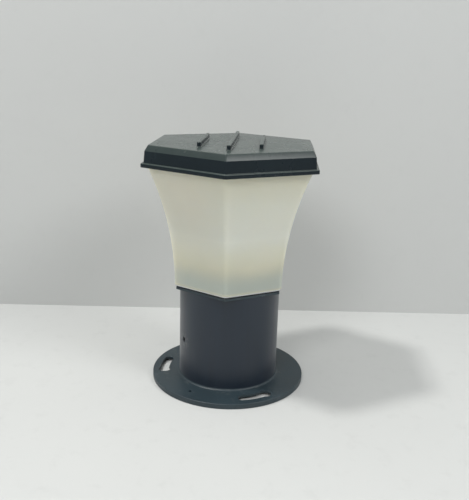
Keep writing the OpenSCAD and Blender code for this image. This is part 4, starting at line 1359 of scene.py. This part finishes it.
MAKERS = (
    maker("flange", "Flange", "Add the slotted flange", flange_casting),
    maker("grommet", "Cable grommet", "Add the grommet that the cable comes in by", cable_grommet),
    maker("pole", "Pole", "Add the pole", pole_shaft),
    maker("set_screws", "Set screws", "Add the set screws in the pole's foot", set_screws),
    maker("diffuser", "Diffuser", "Add the flared diffuser", diffuser),
    maker("washers", "Washers", "Add the washers under the diffuser's screws", seat_washers),
    maker("diffuser_screws", "Diffuser screws", "Add the diffuser's screws", screws("diffuser_screws")),
    maker("lid", "Lid", "Add the ribbed lid with its clip posts", lid_shell),
    maker("clips", "Spring clips", "Add the lid's spring clips", spring_clips),
    maker("clip_screws", "Clip screws", "Add the screws of the spring clips", screws("lid_clip_screws")),
    maker("holder", "Lamp holder", "Add the lamp holder's body", lamp_holder),
    maker("holder_contact", "Holder contact", "Add the holder's centre contact", holder_contact),
    maker("holder_screws", "Holder screws", "Add the screws of the holder and its bracket",
          screws("bracket_screws", "holder_screws")),
    maker("terminal_screws", "Terminal screws", "Add the two rows of terminal screws", terminal_screw_rows),
    maker("terminal_fixings", "Terminal fixings", "Add the screws that hold the terminal block",
          screws("terminal_fixings")),
    maker("earth_screw", "Earth screw", "Add the earth screw", screws("earth_screw")),
    maker("leads", "Leads", "Add the three sleeved leads", leads),
    maker("lamp_cap", "Lamp cap", "Add the lamp's screw cap", screw_cap),
    maker("lamp_insulator", "Lamp insulator", "Add the insulator at the lamp's end", lamp_insulator),
    maker("lamp_contact", "Lamp contact", "Add the contact at the lamp's end", lamp_contact),
    maker("lamp_collar", "Lamp collar", "Add the lamp's collar", lamp_collar),
    maker("lamp_globe", "Lamp globe", "Add the lamp's frosted globe", lamp_globe),
    maker("dress", "Finishes", "Give the pieces kept from the frame their finishes", dress_nodes),
    maker("stage", "Stage", "Add the table, the wall, the lights and the camera", studio),
)


class BOLLARD_PT_panel(bpy.types.Panel):
    """Sizes, colours and build steps of the bollard light"""
    bl_label = "Bollard Light"
    bl_idname = "BOLLARD_PT_panel"
    bl_space_type = "VIEW_3D"
    bl_region_type = "UI"
    bl_category = "Bollard"

    def draw(self, context):
        for title, group in (("Base", context.scene.bollard_base), ("Head", context.scene.bollard_head),
                             ("Colours", context.scene.bollard_colours)):
            box = self.layout.box()
            box.label(text=title)
            for name in group.__annotations__:
                box.prop(group, name)
        for made in MAKERS:
            self.layout.operator(made.bl_idname)


GROUPS = (("bollard_base", BollardBaseSizes), ("bollard_head", BollardHeadSizes),
          ("bollard_colours", BollardColours))
CLASSES = tuple(group for _, group in GROUPS) + MAKERS + (BOLLARD_PT_panel,)


def register():
    for cls in CLASSES:
        bpy.utils.register_class(cls)
    for name, group in GROUPS:
        setattr(bpy.types.Scene, name, PointerProperty(type=group))


def unregister():
    for name, _ in reversed(GROUPS):
        delattr(bpy.types.Scene, name)
    for cls in reversed(CLASSES):
        bpy.utils.unregister_class(cls)


def main():
    register()
    for made in MAKERS:
        getattr(bpy.ops.bollard, made.bl_idname.split(".")[1])()


if __name__ == "__main__":
    main()
